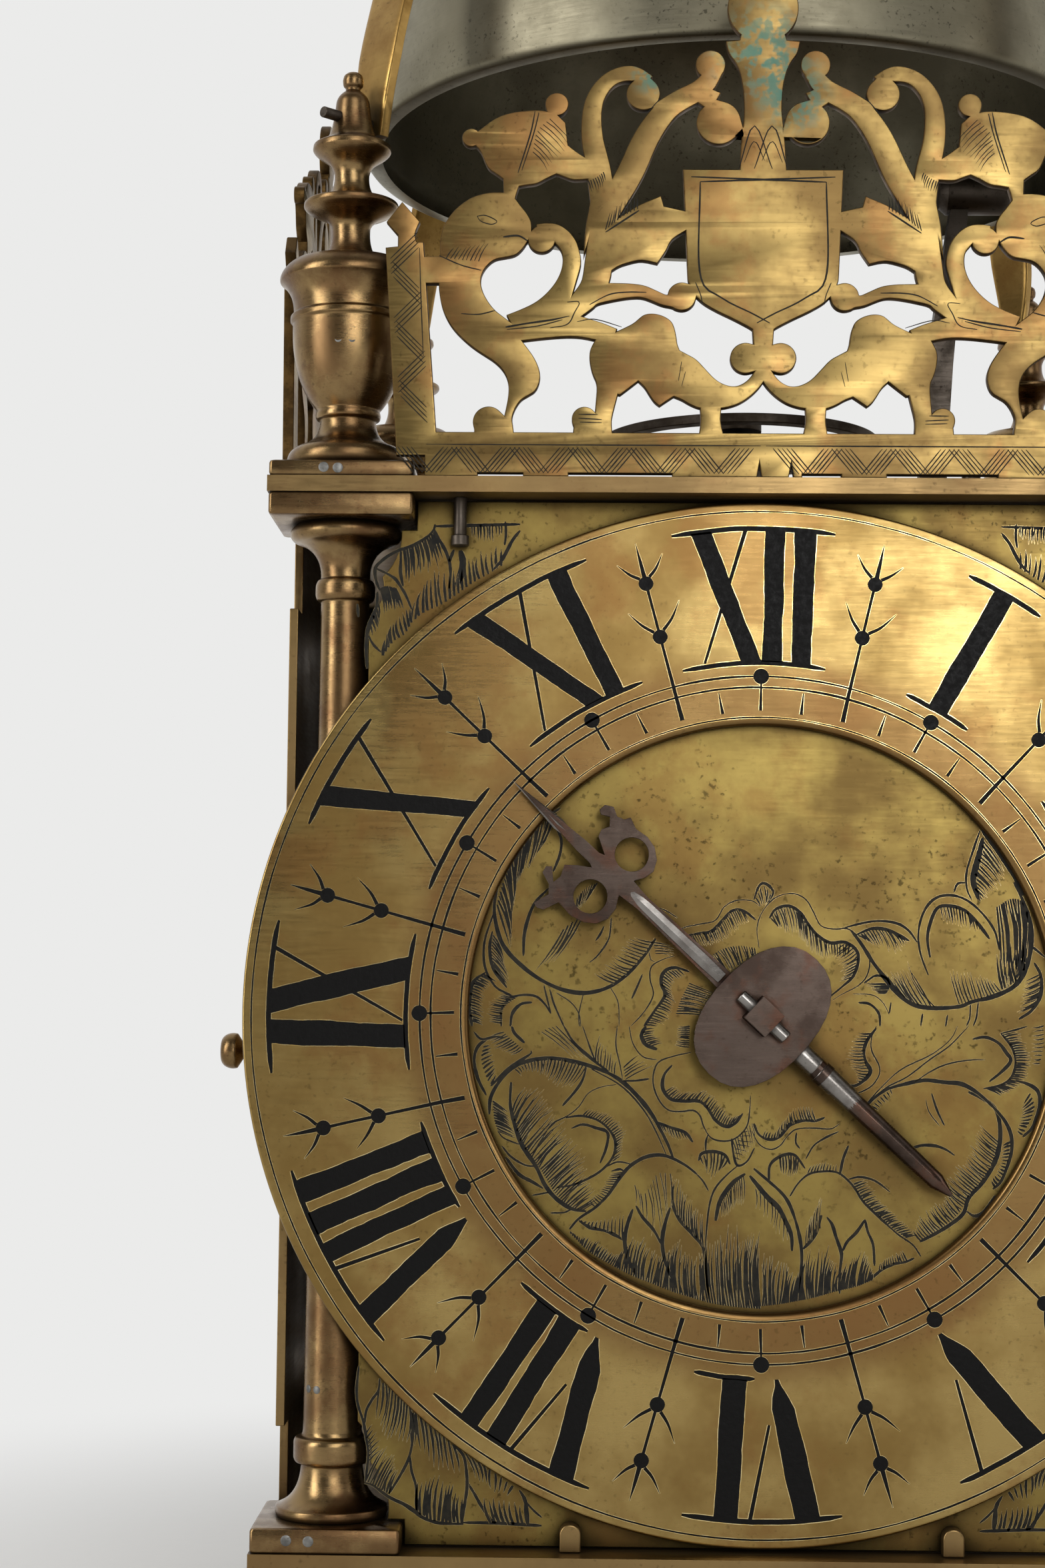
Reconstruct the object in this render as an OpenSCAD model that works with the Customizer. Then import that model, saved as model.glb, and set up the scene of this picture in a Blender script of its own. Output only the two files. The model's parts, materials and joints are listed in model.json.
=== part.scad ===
// Lantern clock: a weight-driven brass chamber clock with one hour hand, three pierced frets and a bell on top.
// Millimetres, Z up. The dial faces -Y, the feet stand at Z = 0 and the origin is the middle of the whole clock.

/* [Frame] */
// Width and depth of the top and bottom plates
plate_w = 153; // [146:0.5:162]
// Thickness of the top and bottom plates
plate_t = 2.5; // [2:0.1:3.5]
// Width of the square corner blocks
block_w = 22.4; // [21:0.1:24]
// Height of the block at the bottom of a pillar
block_low_h = 3.7; // [3:0.1:5]
// Height of the block at the top of a pillar
block_up_h = 3.6; // [3:0.1:5]
// Height of the block under a finial and over a foot
block_cap_h = 2.5; // [2:0.1:4]
// Height of the feet from the floor to the bottom plate
foot_h = 30; // [26:0.5:40]
// Radius of a pillar's shaft at its upper end
shaft_top_r = 3.8; // [3:0.1:4.2]
// Radius of a pillar's shaft at its lower end
shaft_low_r = 4.5; // [4:0.1:4.7]
// Height of a finial above its block
finial_h = 65.4; // [58:0.1:72]
// Radius of a finial's rim
finial_rim_r = 11.2; // [9:0.1:11.6]

/* [Dial] */
// Outer radius of the chapter ring
ring_r = 79.4; // [76:0.1:84]
// Inner radius of the chapter ring
ring_in_r = 44.7; // [40:0.1:50]
// Thickness of the chapter ring
ring_t = 1.8; // [1.2:0.1:2.4]
// Gap between the chapter ring and the plates above and below it
ring_gap = 0.6; // [0.4:0.1:1.5]
// Thickness of the dial plate and the back plate
sheet_t = 1.6; // [1.2:0.1:2]
// Length of the hour hand from its centre to its tip
hand_l = 51; // [44:0.5:58]
// Length of the hour hand's tail
hand_tail_l = 39; // [30:0.5:44]
// Thickness of the hour hand
hand_t = 1.4; // [1:0.1:2]
// Clock angle that the hour hand points to, from twelve
hand_angle = -47; // [-170:1:170]

/* [Frets] */
// Height of the frets above the top plate
fret_h = 80.2; // [72:0.1:88]
// Thickness of the frets
fret_t = 1.8; // [1.4:0.1:2.2]

/* [Bell] */
// Outer radius of the bell's rim
bell_r = 68.5; // [64:0.1:72]
// Height of the bell
bell_h = 60; // [54:0.5:68]
// Wall of the bell
bell_wall = 2.4; // [1.8:0.1:3.2]
// Height of the bell's rim above the top plate
bell_lift = 73.5; // [70:0.1:78]
// Width of the bell strap's arms
strap_w = 9; // [7:0.1:11]
// Thickness of the bell strap
strap_t = 2; // [1.5:0.1:2.6]
// Height of the turned finial on top of the bell strap
crown_h = 38; // [30:0.5:44]

/* [Movement] */
// Width of the movement bars
bar_w = 14; // [12:0.5:16]
// Thickness of the movement bars
bar_t = 2.4; // [2:0.1:3]
// Distance from the plates' front and back edges to the middle of the outer bars
bar_inset = 25.3; // [24.5:0.1:28]
// Teeth of the great wheels
great_teeth = 56; // [56:4:60]
// Teeth of the second wheels
second_teeth = 54; // [50:4:54]
// Teeth of the warning wheel
warning_teeth = 48; // [44:4:48]
// Size of the train teeth: pitch diameter over number of teeth
train_m = 0.85; // [0.8:0.01:0.87]
// Height of the dial centre above the great wheels' arbors
report_drop = 34; // [33:0.1:35]
// Thickness of the train wheels
wheel_t = 1.6; // [1.2:0.1:2]
// Radius of the rope pulleys
pulley_r = 14; // [12:0.1:15]
// Radius of the balance wheel
balance_r = 24.5; // [20:0.5:26]
// Height of the balance wheel above the top plate
balance_lift = 16.5; // [14:0.5:26]
// Radius of the holes for the weight ropes
rope_hole_r = 5; // [4:0.1:6]

/* [Case] */
// Thickness of the side doors
door_t = 1.4; // [1:0.1:1.8]
// Length of a door knob
knob_l = 10.7; // [8:0.1:13]
// Distance of the wall behind the plates' back edge
wall_gap = 21.5; // [16:0.5:30]

/* [Fits] */
// Running clearance between a pivot and its hole, on the radius
pivot_fit = 0.05; // [0.02:0.01:0.08]
// Gap between fixed pieces that stand beside each other
seat_gap = 0.3; // [0.2:0.05:0.5]
// Clearance round a pin in its hole and round the arbor's square in the hand
hand_fit = 0.05; // [0.02:0.01:0.1]

/* [Hidden] */
$fn = 48;

brass = "#a8853f";
dark_brass = "#7a5c2e";
iron = "#4a3c34";
steel = "#6b6560";
bell_metal = "#4c4b40";

// Levels and depths that the pieces share
clear_h = 2 * (ring_r + ring_gap);
plate_half = plate_w / 2;
block_inset = 0.2;
corner = plate_half - block_inset - block_w / 2;
floor_z = foot_h + plate_t;
roof_z = floor_z + clear_h;
top_z = roof_z + plate_t;
dial_z = floor_z + clear_h / 2;
rim_z = top_z + bell_lift;
pillar_h = clear_h - block_low_h - block_up_h;
ring_back_y = -corner - shaft_low_r - seat_gap;
ring_face_y = ring_back_y - ring_t;
sheet_back_y = ring_back_y + sheet_t;
hand_gap = 0.9;
hand_back_y = ring_face_y - hand_gap;
boss_t = 2.4;
boss_seat = 1;
boss_front_y = hand_back_y - hand_t + boss_seat - boss_t;
arbor_end_y = hand_back_y - 6.6;
wall_y = plate_half + wall_gap;
mid_y = (wall_y + arbor_end_y) / 2;

// Train arbors, one above another on the middle line
pinion_leaves = 6;
second_leaves = 7;
report_leaves = 6;
hour_teeth = 48;
report_m = 2 * report_drop / (hour_teeth + report_leaves);
great_z = dial_z - report_drop;
second_z = great_z + train_m * (great_teeth + second_leaves) / 2;
third_z = second_z + train_m * (second_teeth + pinion_leaves) / 2;
fly_z = third_z + train_m * (warning_teeth + pinion_leaves) / 2;
pivot_r = 0.8;
arbor_r = 1.3;
detent_r = 1.7;
great_arbor_r = 2.2;
great_pivot_r = 1.4;
hour_arbor_r = 2.5;
pinion_w = 4.2;
great_t = 2.2;

// Places along the depth of the case, from the inner faces of the outer bars
bar_y = plate_half - bar_inset;
bar_face = bar_y - bar_t / 2;
bar_back = bar_y + bar_t / 2;
second_in = 12;
great_in = 20;
crown_in = 24;
strike_great_in = 22;
hoop_in = 14;
warning_in = 30;
hammer_in = 24;
second_y = second_in - bar_face;
going_great_y = great_in - bar_face;
crown_web_y = crown_in - bar_face;
crown_depth = 7;
crown_r = 15;
verge_reach = 3.5;
verge_y = crown_web_y + crown_depth + verge_reach + seat_gap;
strike_great_y = bar_face - strike_great_in;
hoop_y = bar_face - hoop_in;
warning_y = bar_face - warning_in;
report_y = bar_back + 6.2;
pulley_w = 13.5;
balance_z = top_z + balance_lift;
balance_t = 1.6;

// Hammer and detent arbors, held by side arms of the bars
hammer_x = 38;
hammer_z = dial_z - 16.5;
hammer_y = bar_face - hammer_in;
detent_x = -33;
detent_z = dial_z + 29.5;
stop_x = 47.2;

// Curves

// Point at share t of the span from b to c, on a smooth curve through a, b, c and d
function through(a, b, c, d, t) =
    (2 * b + (c - a) * t + (2 * a - 5 * b + 4 * c - d) * t * t + (3 * b - a - 3 * c + d) * t * t * t) / 2;

// Closed smooth curve through the points p, with n steps a span
function loop_curve(p, n = 3) = let (m = len(p)) [
    for (i = [0 : m - 1], k = [0 : n - 1])
        through(p[(i + m - 1) % m], p[i], p[(i + 1) % m], p[(i + 2) % m], k / n)
];

// Open smooth curve through the points p, with n steps a span
function open_curve(p, n = 3) = let (m = len(p)) concat([
    for (i = [0 : m - 2], k = [0 : n - 1])
        through(p[max(i - 1, 0)], p[i], p[i + 1], p[min(i + 2, m - 1)], k / n)
], [p[m - 1]]);

// Bezier curve from a to d with handles b and c, in n steps, without its last point
function bow(a, b, c, d, n = 6) = [
    for (i = [0 : n - 1]) let (t = i / n, s = 1 - t)
        s * s * s * a + 3 * s * s * t * b + 3 * s * t * t * c + t * t * t * d
];

// Stroke along [x, z, width] points, as cut from sheet with a piercing saw
module vine(p, n = 2) {
    s = open_curve(p, n);
    m = len(s);
    side = [for (i = [0 : m - 1]) let (
        a = s[max(i - 1, 0)],
        b = s[min(i + 1, m - 1)],
        d = [b.x - a.x, b.y - a.y]
    ) [-d.y, d.x] / norm(d) * s[i].z / 2];
    polygon(concat(
        [for (i = [0 : m - 1]) [s[i].x, s[i].y] + side[i]],
        [for (i = [m - 1 : -1 : 0]) [s[i].x, s[i].y] - side[i]]
    ));
}

// Places and turning axes

module upright(y, t) {
    translate([0, y + t, 0]) rotate([90, 0, 0]) linear_extrude(t) children();
}

module rod(y0, y1, r) {
    translate([0, y1, 0]) rotate([90, 0, 0]) cylinder(h = y1 - y0, r = r);
}

module at(x, z) {
    translate([x, 0, z]) children();
}

module corners(xs = [-1, 1], ys = [-1, 1]) {
    for (x = xs, y = ys) translate([x * corner, y * corner, 0]) children();
}

module clock_frame() {
    translate([0, -mid_y, 0]) children();
}

module block(z, h) {
    translate([-block_w / 2, -block_w / 2, z]) cube([block_w, block_w, h]);
}

// Toothed wheels

// Outline of a wheel: shares are tooth widths over the pitch, at the root, the pitch circle and the tip
function gear_outline(n, m, over, under, shares) = [
    for (i = [0 : n - 1], k = [0 : 5]) let (
        radius = n * m / 2 + m * [-under, 0, over, over, 0, -under][k],
        a = (i + [-1, -1, -1, 1, 1, 1][k] * shares[min(k, 5 - k)] / 2) * 360 / n
    ) radius * [cos(a), sin(a)]
];
wheel_teeth = [0.5, 0.42, 0.16];
leaf_teeth = [0.3, 0.36, 0.16];

function wheel_outline(n, m) = gear_outline(n, m, 1, 1.3, wheel_teeth);
function pinion_outline(n, m) = gear_outline(n, m, 0.7, 1.35, leaf_teeth);

// One gap between the arms of a wheel's crossings
function crossing_gap(r0, r1, arms, arm_w, n = 6) = let (
    a0 = asin(arm_w / 2 / r0),
    a1 = asin(arm_w / 2 / r1),
    span = 360 / arms
) concat(
    [for (i = [0 : n]) let (a = a1 + (span - 2 * a1) * i / n) r1 * [cos(a), sin(a)]],
    [for (i = [n : -1 : 0]) let (a = a0 + (span - 2 * a0) * i / n) r0 * [cos(a), sin(a)]]
);

// Wheel blank with its teeth, four arms and a bore
module crossed_wheel(n, m, rim, hub_r, bore_r) {
    root_r = n * m / 2 - 1.3 * m;
    difference() {
        polygon(wheel_outline(n, m));
        for (k = [0 : 3]) rotate(45 + 90 * k) polygon(crossing_gap(hub_r, root_r - rim, 4, 3.2));
        circle(r = bore_r);
    }
}

// Arbor between two bars with a pivot at each end; a pivot goes half way into the centre bar
shake = 0.6;
module pivoted_arbor(y0, y1, r, end_r) {
    rod(y0 + shake, y1 - shake, r);
    rod(y0 - pivot_l(y0), y0 + 1, end_r);
    rod(y1 - 1, y1 + pivot_l(y1), end_r);
}

function pivot_l(y) = (abs(y) > bar_t ? bar_t : bar_t / 2) - 0.1;

module pinion(y, w, n, m, turn) {
    upright(y, w) rotate(turn) polygon(pinion_outline(n, m));
}

// Frame

module plate(z) {
    translate([-plate_half, -plate_half, z]) cube([plate_w, plate_w, plate_t]);
}

door_x = plate_half - 2.1 - door_t;
hinge_y = corner - block_w / 2 - 2.4;
hinge_r = 1.6;
hinge_pin_r = 1;
door_tail = 7.4;
door_full_y = corner - block_w / 2 - seat_gap;

module hinge_holes(z) {
    for (x = [-1, 1]) translate([x * (door_x + door_t / 2), hinge_y, z - 1])
        cylinder(h = plate_t + 2, r = hinge_pin_r + pivot_fit);
}

tenon_w = 8;
module tenon_holes(z) {
    for (y = [-1, 0, 1]) translate([-tenon_w / 2, y * bar_y - bar_t / 2, z - 1])
        cube([tenon_w, bar_t, plate_t + 2]);
}

module bottom_plate() {
    color(brass) difference() {
        plate(foot_h);
        hinge_holes(foot_h);
        tenon_holes(foot_h);
        for (x = [-1, 1], y = [going_great_y + great_t + pulley_w / 2 + 0.8, strike_great_y - pulley_w / 2 - 0.8])
            translate([x * (pulley_r - 2), y, foot_h - 1]) cylinder(h = plate_t + 2, r = rope_hole_r);
    }
}

slot_l = 20.5;
slot_w = 8;
module top_plate() {
    color(brass) difference() {
        plate(roof_z);
        hinge_holes(roof_z);
        tenon_holes(roof_z);
        translate([0, verge_y, roof_z - 1]) cylinder(h = plate_t + 2, r = 3);
        translate([hammer_x + 6 - slot_l, hammer_y - slot_w / 2, roof_z - 1]) cube([slot_l, slot_w, plate_t + 2]);
    }
}

// Foot: a pad, a ball and an ogee under a square block
module foot() {
    top = foot_h - block_cap_h;
    ball_r = 8.8;
    color(dark_brass) {
        rotate_extrude() polygon(concat(
            [[0, 0], [5.2, 0], [5.6, 0.6], [5.6, 1.8]],
            bow([4.4, 2.4], [3.6, 3.2], [3.8, 4.2], [5, 4.8]),
            bow([5, 4.8], [10.2, 6.6], [10.2, top - 10.6], [4.6, top - 8.4], 10),
            bow([4.6, top - 8.4], [3.6, top - 6.6], [4, top - 5.2], [6.4, top - 3.8]),
            bow([6.4, top - 3.8], [ball_r + 1, top - 3.2], [ball_r + 1, top - 0.6], [ball_r, top]),
            [[ball_r, top], [0, top]]
        ));
        block(top, block_cap_h);
    }
}

// Pillar: flared foot, collar, tapering shaft, collar and capital between two square blocks
flare_r = 8.6;
collar_low_z = 9.9;
collar_up_gap = 10.4;
module pillar() {
    h = pillar_h;
    up = h - collar_up_gap;
    color(dark_brass) {
        block(floor_z, block_low_h);
        block(roof_z - block_up_h, block_up_h);
        translate([0, 0, floor_z + block_low_h]) rotate_extrude() polygon(concat(
            [[0, 0], [flare_r - 0.3, 0], [flare_r, 0.7]],
            bow([flare_r - 0.1, 1.6], [flare_r - 2, 2.4], [5, 3.6], [4.7, 7.6], 8),
            [[4.8, 7.8], [5.6, 8], [5.9, 8.6], [5.9, 11.2], [5.6, 11.8], [shaft_low_r + 0.2, 12]],
            [[shaft_low_r, 12.6], [shaft_top_r, up - 2.2], [shaft_top_r, up - 1.8]],
            [[4.4, up - 1.6], [4.7, up - 0.8], [4.7, up + 0.8], [4.4, up + 1.6], [3.9, up + 1.8]],
            bow([3.9, up + 1.8], [3.7, up + 4.6], [5, up + 6.6], [7.2, up + 7.4], 6),
            bow([7.2, up + 7.4], [flare_r + 0.6, up + 7.8], [flare_r + 0.6, h - 0.8], [flare_r - 0.6, h - 0.2], 5),
            [[flare_r - 0.8, h], [0, h]]
        ));
    }
}

// Finial: ogee base, urn with a grooved bead and wide rim, two dished collars and a bell-shaped cap with a knob
urn_r = 9;
collar_r = 7.6;
upper_collar_r = 6.3;
cap_r = 3.4;
cap_hole_z = 57.5;
module finial() {
    s = finial_h / 65.4;
    rim = finial_rim_r;
    color(dark_brass) difference() {
        union() {
            block(top_z, block_cap_h);
            translate([0, 0, top_z + block_cap_h]) rotate_extrude() polygon([for (p = concat(
                [[0, 0], [8.6, 0]],
                bow([8.6, 0], [10, 0.8], [9.9, 3], [8, 3.8], 5),
                bow([8, 3.8], [5.8, 4.6], [4.6, 5.6], [4.4, 8.2], 6),
                [[4.4, 8.2], [5.1, 8.5], [5.2, 9.2], [5, 9.9]],
                bow([5, 9.9], [7.2, 12.4], [urn_r, 16.6], [urn_r, 22.4], 8),
                [[urn_r, 22.4], [urn_r, 23.8], [urn_r + 0.4, 24.1], [urn_r + 0.4, 25], [urn_r - 0.1, 25.3]],
                bow([urn_r - 0.1, 25.3], [urn_r - 0.2, 28.2], [urn_r + 1, 29.8], [rim - 0.1, 30.5], 5),
                bow([rim - 0.1, 30.5], [rim + 0.2, 31.4], [rim - 0.6, 32.8], [9, 33.8], 4),
                [[9, 33.8], [4.6, 34.3]],
                bow([4.6, 34.3], [3.4, 35.6], [2.9, 37.4], [3.1, 39.6], 5),
                bow([3.1, 39.6], [3.6, 41.4], [5.4, 41.2], [collar_r - 0.3, 42.6], 5),
                [[collar_r, 43], [collar_r - 0.1, 43.7], [4.4, 44.3]],
                bow([4.4, 44.3], [3.1, 45.2], [2.7, 46.8], [2.8, 48.4], 4),
                bow([2.8, 48.4], [3.2, 50.6], [4.8, 50.6], [upper_collar_r - 0.3, 51.9], 4),
                [[upper_collar_r, 52.3], [upper_collar_r - 0.1, 53.2], [4.2, 54.2]],
                bow([4.2, 54.2], [cap_r, 54.8], [3, 57.4], [2.7, 60], 5),
                bow([2.7, 60], [2.6, 61.4], [1.6, 61.9], [1.2, 62.3], 4),
                [[1.2, 62.3], [1.2, 62.7], [1.6, 63.1], [1.7, 64], [1.5, 64.8], [0.9, 65.3], [0, 65.4]]
            )) [p.x, p.y * s]]);
        }
        children();
    }
}

// Dial

plate_edge_x = corner - 4.2;
notch_gap = 0.5;

// Sheet that closes the front or the back between the pillars, notched round their turnings
module sheet_outline() {
    difference() {
        translate([-plate_edge_x, floor_z + seat_gap]) square([2 * plate_edge_x, clear_h - 2 * seat_gap]);
        for (x = [-1, 1]) translate([x * corner, 0]) {
            for (z = [floor_z + block_low_h + 2, roof_z - block_up_h - 2]) translate([0, z]) circle(r = flare_r + notch_gap);
            for (z = [collar_low_z, pillar_h - collar_up_gap])
                translate([0, floor_z + block_low_h + z]) circle(r = 5.9 + notch_gap);
            for (z = [floor_z, roof_z - block_up_h - seat_gap]) translate([-block_w / 2 - seat_gap, z - 1])
                square([block_w + 2 * seat_gap, block_low_h + seat_gap + 1]);
        }
        children();
    }
}

module dial_plate() {
    color(brass) upright(ring_back_y, sheet_t) sheet_outline() at_dial() circle(r = hour_arbor_r + 1.5);
}

module at_dial() {
    translate([0, dial_z]) children();
}

module chapter_ring() {
    edge = 0.4;
    color(brass) at(0, dial_z) translate([0, ring_back_y, 0]) rotate([90, 0, 0]) rotate_extrude($fn = 96) polygon([
        [ring_in_r, 0], [ring_r, 0], [ring_r, ring_t - edge], [ring_r - edge, ring_t],
        [ring_in_r + edge, ring_t], [ring_in_r, ring_t - edge],
    ]);
}

// Two blocks on the bottom plate that keep the dial's foot from sliding forward
lug_x = 28.6;
module dial_lugs() {
    color(brass) for (x = [-1, 1]) translate([x * lug_x - 1.6, ring_back_y - 3.1, floor_z]) {
        cube([3.2, 3, 2.6]);
        translate([1.6, 3, 2.6]) rotate([90, 0, 0]) cylinder(h = 3, r = 1.6);
    }
}

// Two pins under the top plate that hold the dial's top edge
catch_x = plate_half - 29.7;
module dial_catches() {
    color(iron) for (x = [-1, 1]) translate([x * catch_x, ring_back_y - 1.4, roof_z - 7.6]) {
        cylinder(h = 7.6, r = 1);
        cylinder(h = 1.6, r = 1.4);
    }
}

// Hour hand, drawn pointing up: a tapering blade with two pierced leaves, an oval boss across it and a round tail
drawn_hand_l = 51;
boss_l = 23.8;
boss_w = 16;
leaf_hole_r = 2.6;
blade = [[-1.7, 0], [-1.2, 25], [-1.6, 28.6], [-1.6, 33.6], [-1.05, 35], [-1.05, 37.8], [-0.9, 39.8],
    [0, drawn_hand_l], [0.9, 39.8], [1.05, 37.8], [1.05, 35], [1.6, 33.6], [1.6, 28.6], [1.2, 25], [1.7, 0]];
right_leaf = [[1, 28.4], [1.8, 28.1], [3.1, 27.3], [4.7, 27], [6.3, 27.8], [7.5, 29.4], [7.9, 31.3], [7.6, 33.4],
    [8.3, 35.2], [7.4, 35.7], [7, 36.8], [7.7, 38.2], [7, 39.4], [5.9, 39.5], [5.5, 38.8], [6.2, 37.6],
    [5.1, 36.6], [3.9, 37.2], [2.8, 36.8], [1, 33.4]];
left_leaf = [[-1, 28.4], [-1.9, 28.2], [-3.4, 27.3], [-5.3, 27.1], [-7.1, 27.9], [-8.3, 29.5], [-8.9, 31.6],
    [-8.7, 34.3], [-11.1, 35.2], [-11.6, 36.2], [-11.3, 37], [-8.8, 36.3], [-7.7, 37.3], [-7.1, 39.2],
    [-6, 39.5], [-5.4, 38.8], [-7, 37], [-5.6, 36.8], [-3.9, 37.6], [-2.6, 36.1], [-1, 33.8]];
leaf_holes = [[4.3, 31.2], [-4.7, 31.4]];

// Oval with slightly flattened sides, w by h
function oval(w, h, full = 0.88) = [for (a = [0 : 12 : 348]) [
    sign(cos(a)) * pow(abs(cos(a)), full) * w / 2,
    sign(sin(a)) * pow(abs(sin(a)), full) * h / 2
]];

module hour_hand() {
    stretch = hand_l / drawn_hand_l;
    square_w = square_s + 2 * hand_fit;
    color(steel) at(0, dial_z) rotate([0, hand_angle, 0]) difference() {
        union() {
            upright(hand_back_y - hand_t, hand_t) scale([1, stretch]) difference() {
                union() {
                    polygon(blade);
                    polygon(right_leaf);
                    polygon(left_leaf);
                }
                for (c = leaf_holes) translate(c) circle(r = leaf_hole_r, $fn = 32);
            }
            upright(boss_front_y, boss_t) polygon(oval(boss_l, boss_w));
            translate([0, hand_back_y - hand_t / 2, 0]) rotate([0, 180, 0]) {
                cylinder(h = hand_tail_l * 0.32, r = 1.7);
                translate([0, 0, hand_tail_l * 0.31]) cylinder(h = 1.2, r = 1.9);
                translate([0, 0, hand_tail_l * 0.32]) cylinder(h = hand_tail_l * 0.6, r1 = 1.7, r2 = 1.35);
                translate([0, 0, hand_tail_l * 0.92]) cylinder(h = hand_tail_l * 0.08, r1 = 1.35, r2 = 0.3);
            }
        }
        translate([-square_w / 2, -150, -square_w / 2]) cube([square_w, 150, square_w]);
    }
}

// Arbor that carries the hand: round in the front bar and the hour wheel, squared outside for the hand
square_s = 4.3;
pin_seat = 0.1;
hand_pin_r = 1.05;
hand_pin_l = 9.4;
pin_y = boss_front_y - pin_seat - hand_pin_r;
module hour_arbor() {
    color(steel) at(0, dial_z) {
        difference() {
            union() {
                rod(hand_back_y + 1.4, -bar_face + 1.2, hour_arbor_r);
                rotate([0, hand_angle, 0]) translate([-square_s / 2, arbor_end_y, -square_s / 2])
                    cube([square_s, hand_back_y + 1.6 - arbor_end_y, square_s]);
                rod(-bar_face, -bar_face + 1.2, hour_arbor_r + 1);
            }
            rotate([0, hand_angle, 0]) translate([0, pin_y, -hand_pin_l]) cylinder(h = 2 * hand_pin_l, r = hand_pin_r + hand_fit);
        }
    }
}

module hand_pin() {
    color(steel) at(0, dial_z) rotate([0, hand_angle, 0]) translate([0, pin_y, -hand_pin_l / 2])
        cylinder(h = hand_pin_l, r = hand_pin_r);
}

// Hour wheel with a friction collet and twelve pins that lift the strike detent
lift_pins = 12;
lift_pin_r = 25;
module hour_wheel() {
    y = -bar_back - 7.6;
    color(brass) at(0, dial_z) difference() {
        union() {
            upright(y, wheel_t) rotate(270) crossed_wheel(hour_teeth, report_m, 4, 6, hour_arbor_r + 1);
            rod(y - 1.8, y + 4, 5);
            for (k = [1 : lift_pins]) rotate([0, k * 360 / lift_pins, 0]) at(lift_pin_r, 0) rod(y + 1, y + 4.2, 0.8);
        }
        rod(y - 3, y + 6, hour_arbor_r + pivot_fit);
    }
}

// Frets: a shield with scrolls, leaves and beasts, pierced from sheet and standing on a base strip

fret_half = corner - 6.4;
drawn_half = 58.7;
drawn_h = 80.2;
base_h = 6.9;
notch_x = 52.2;

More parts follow.
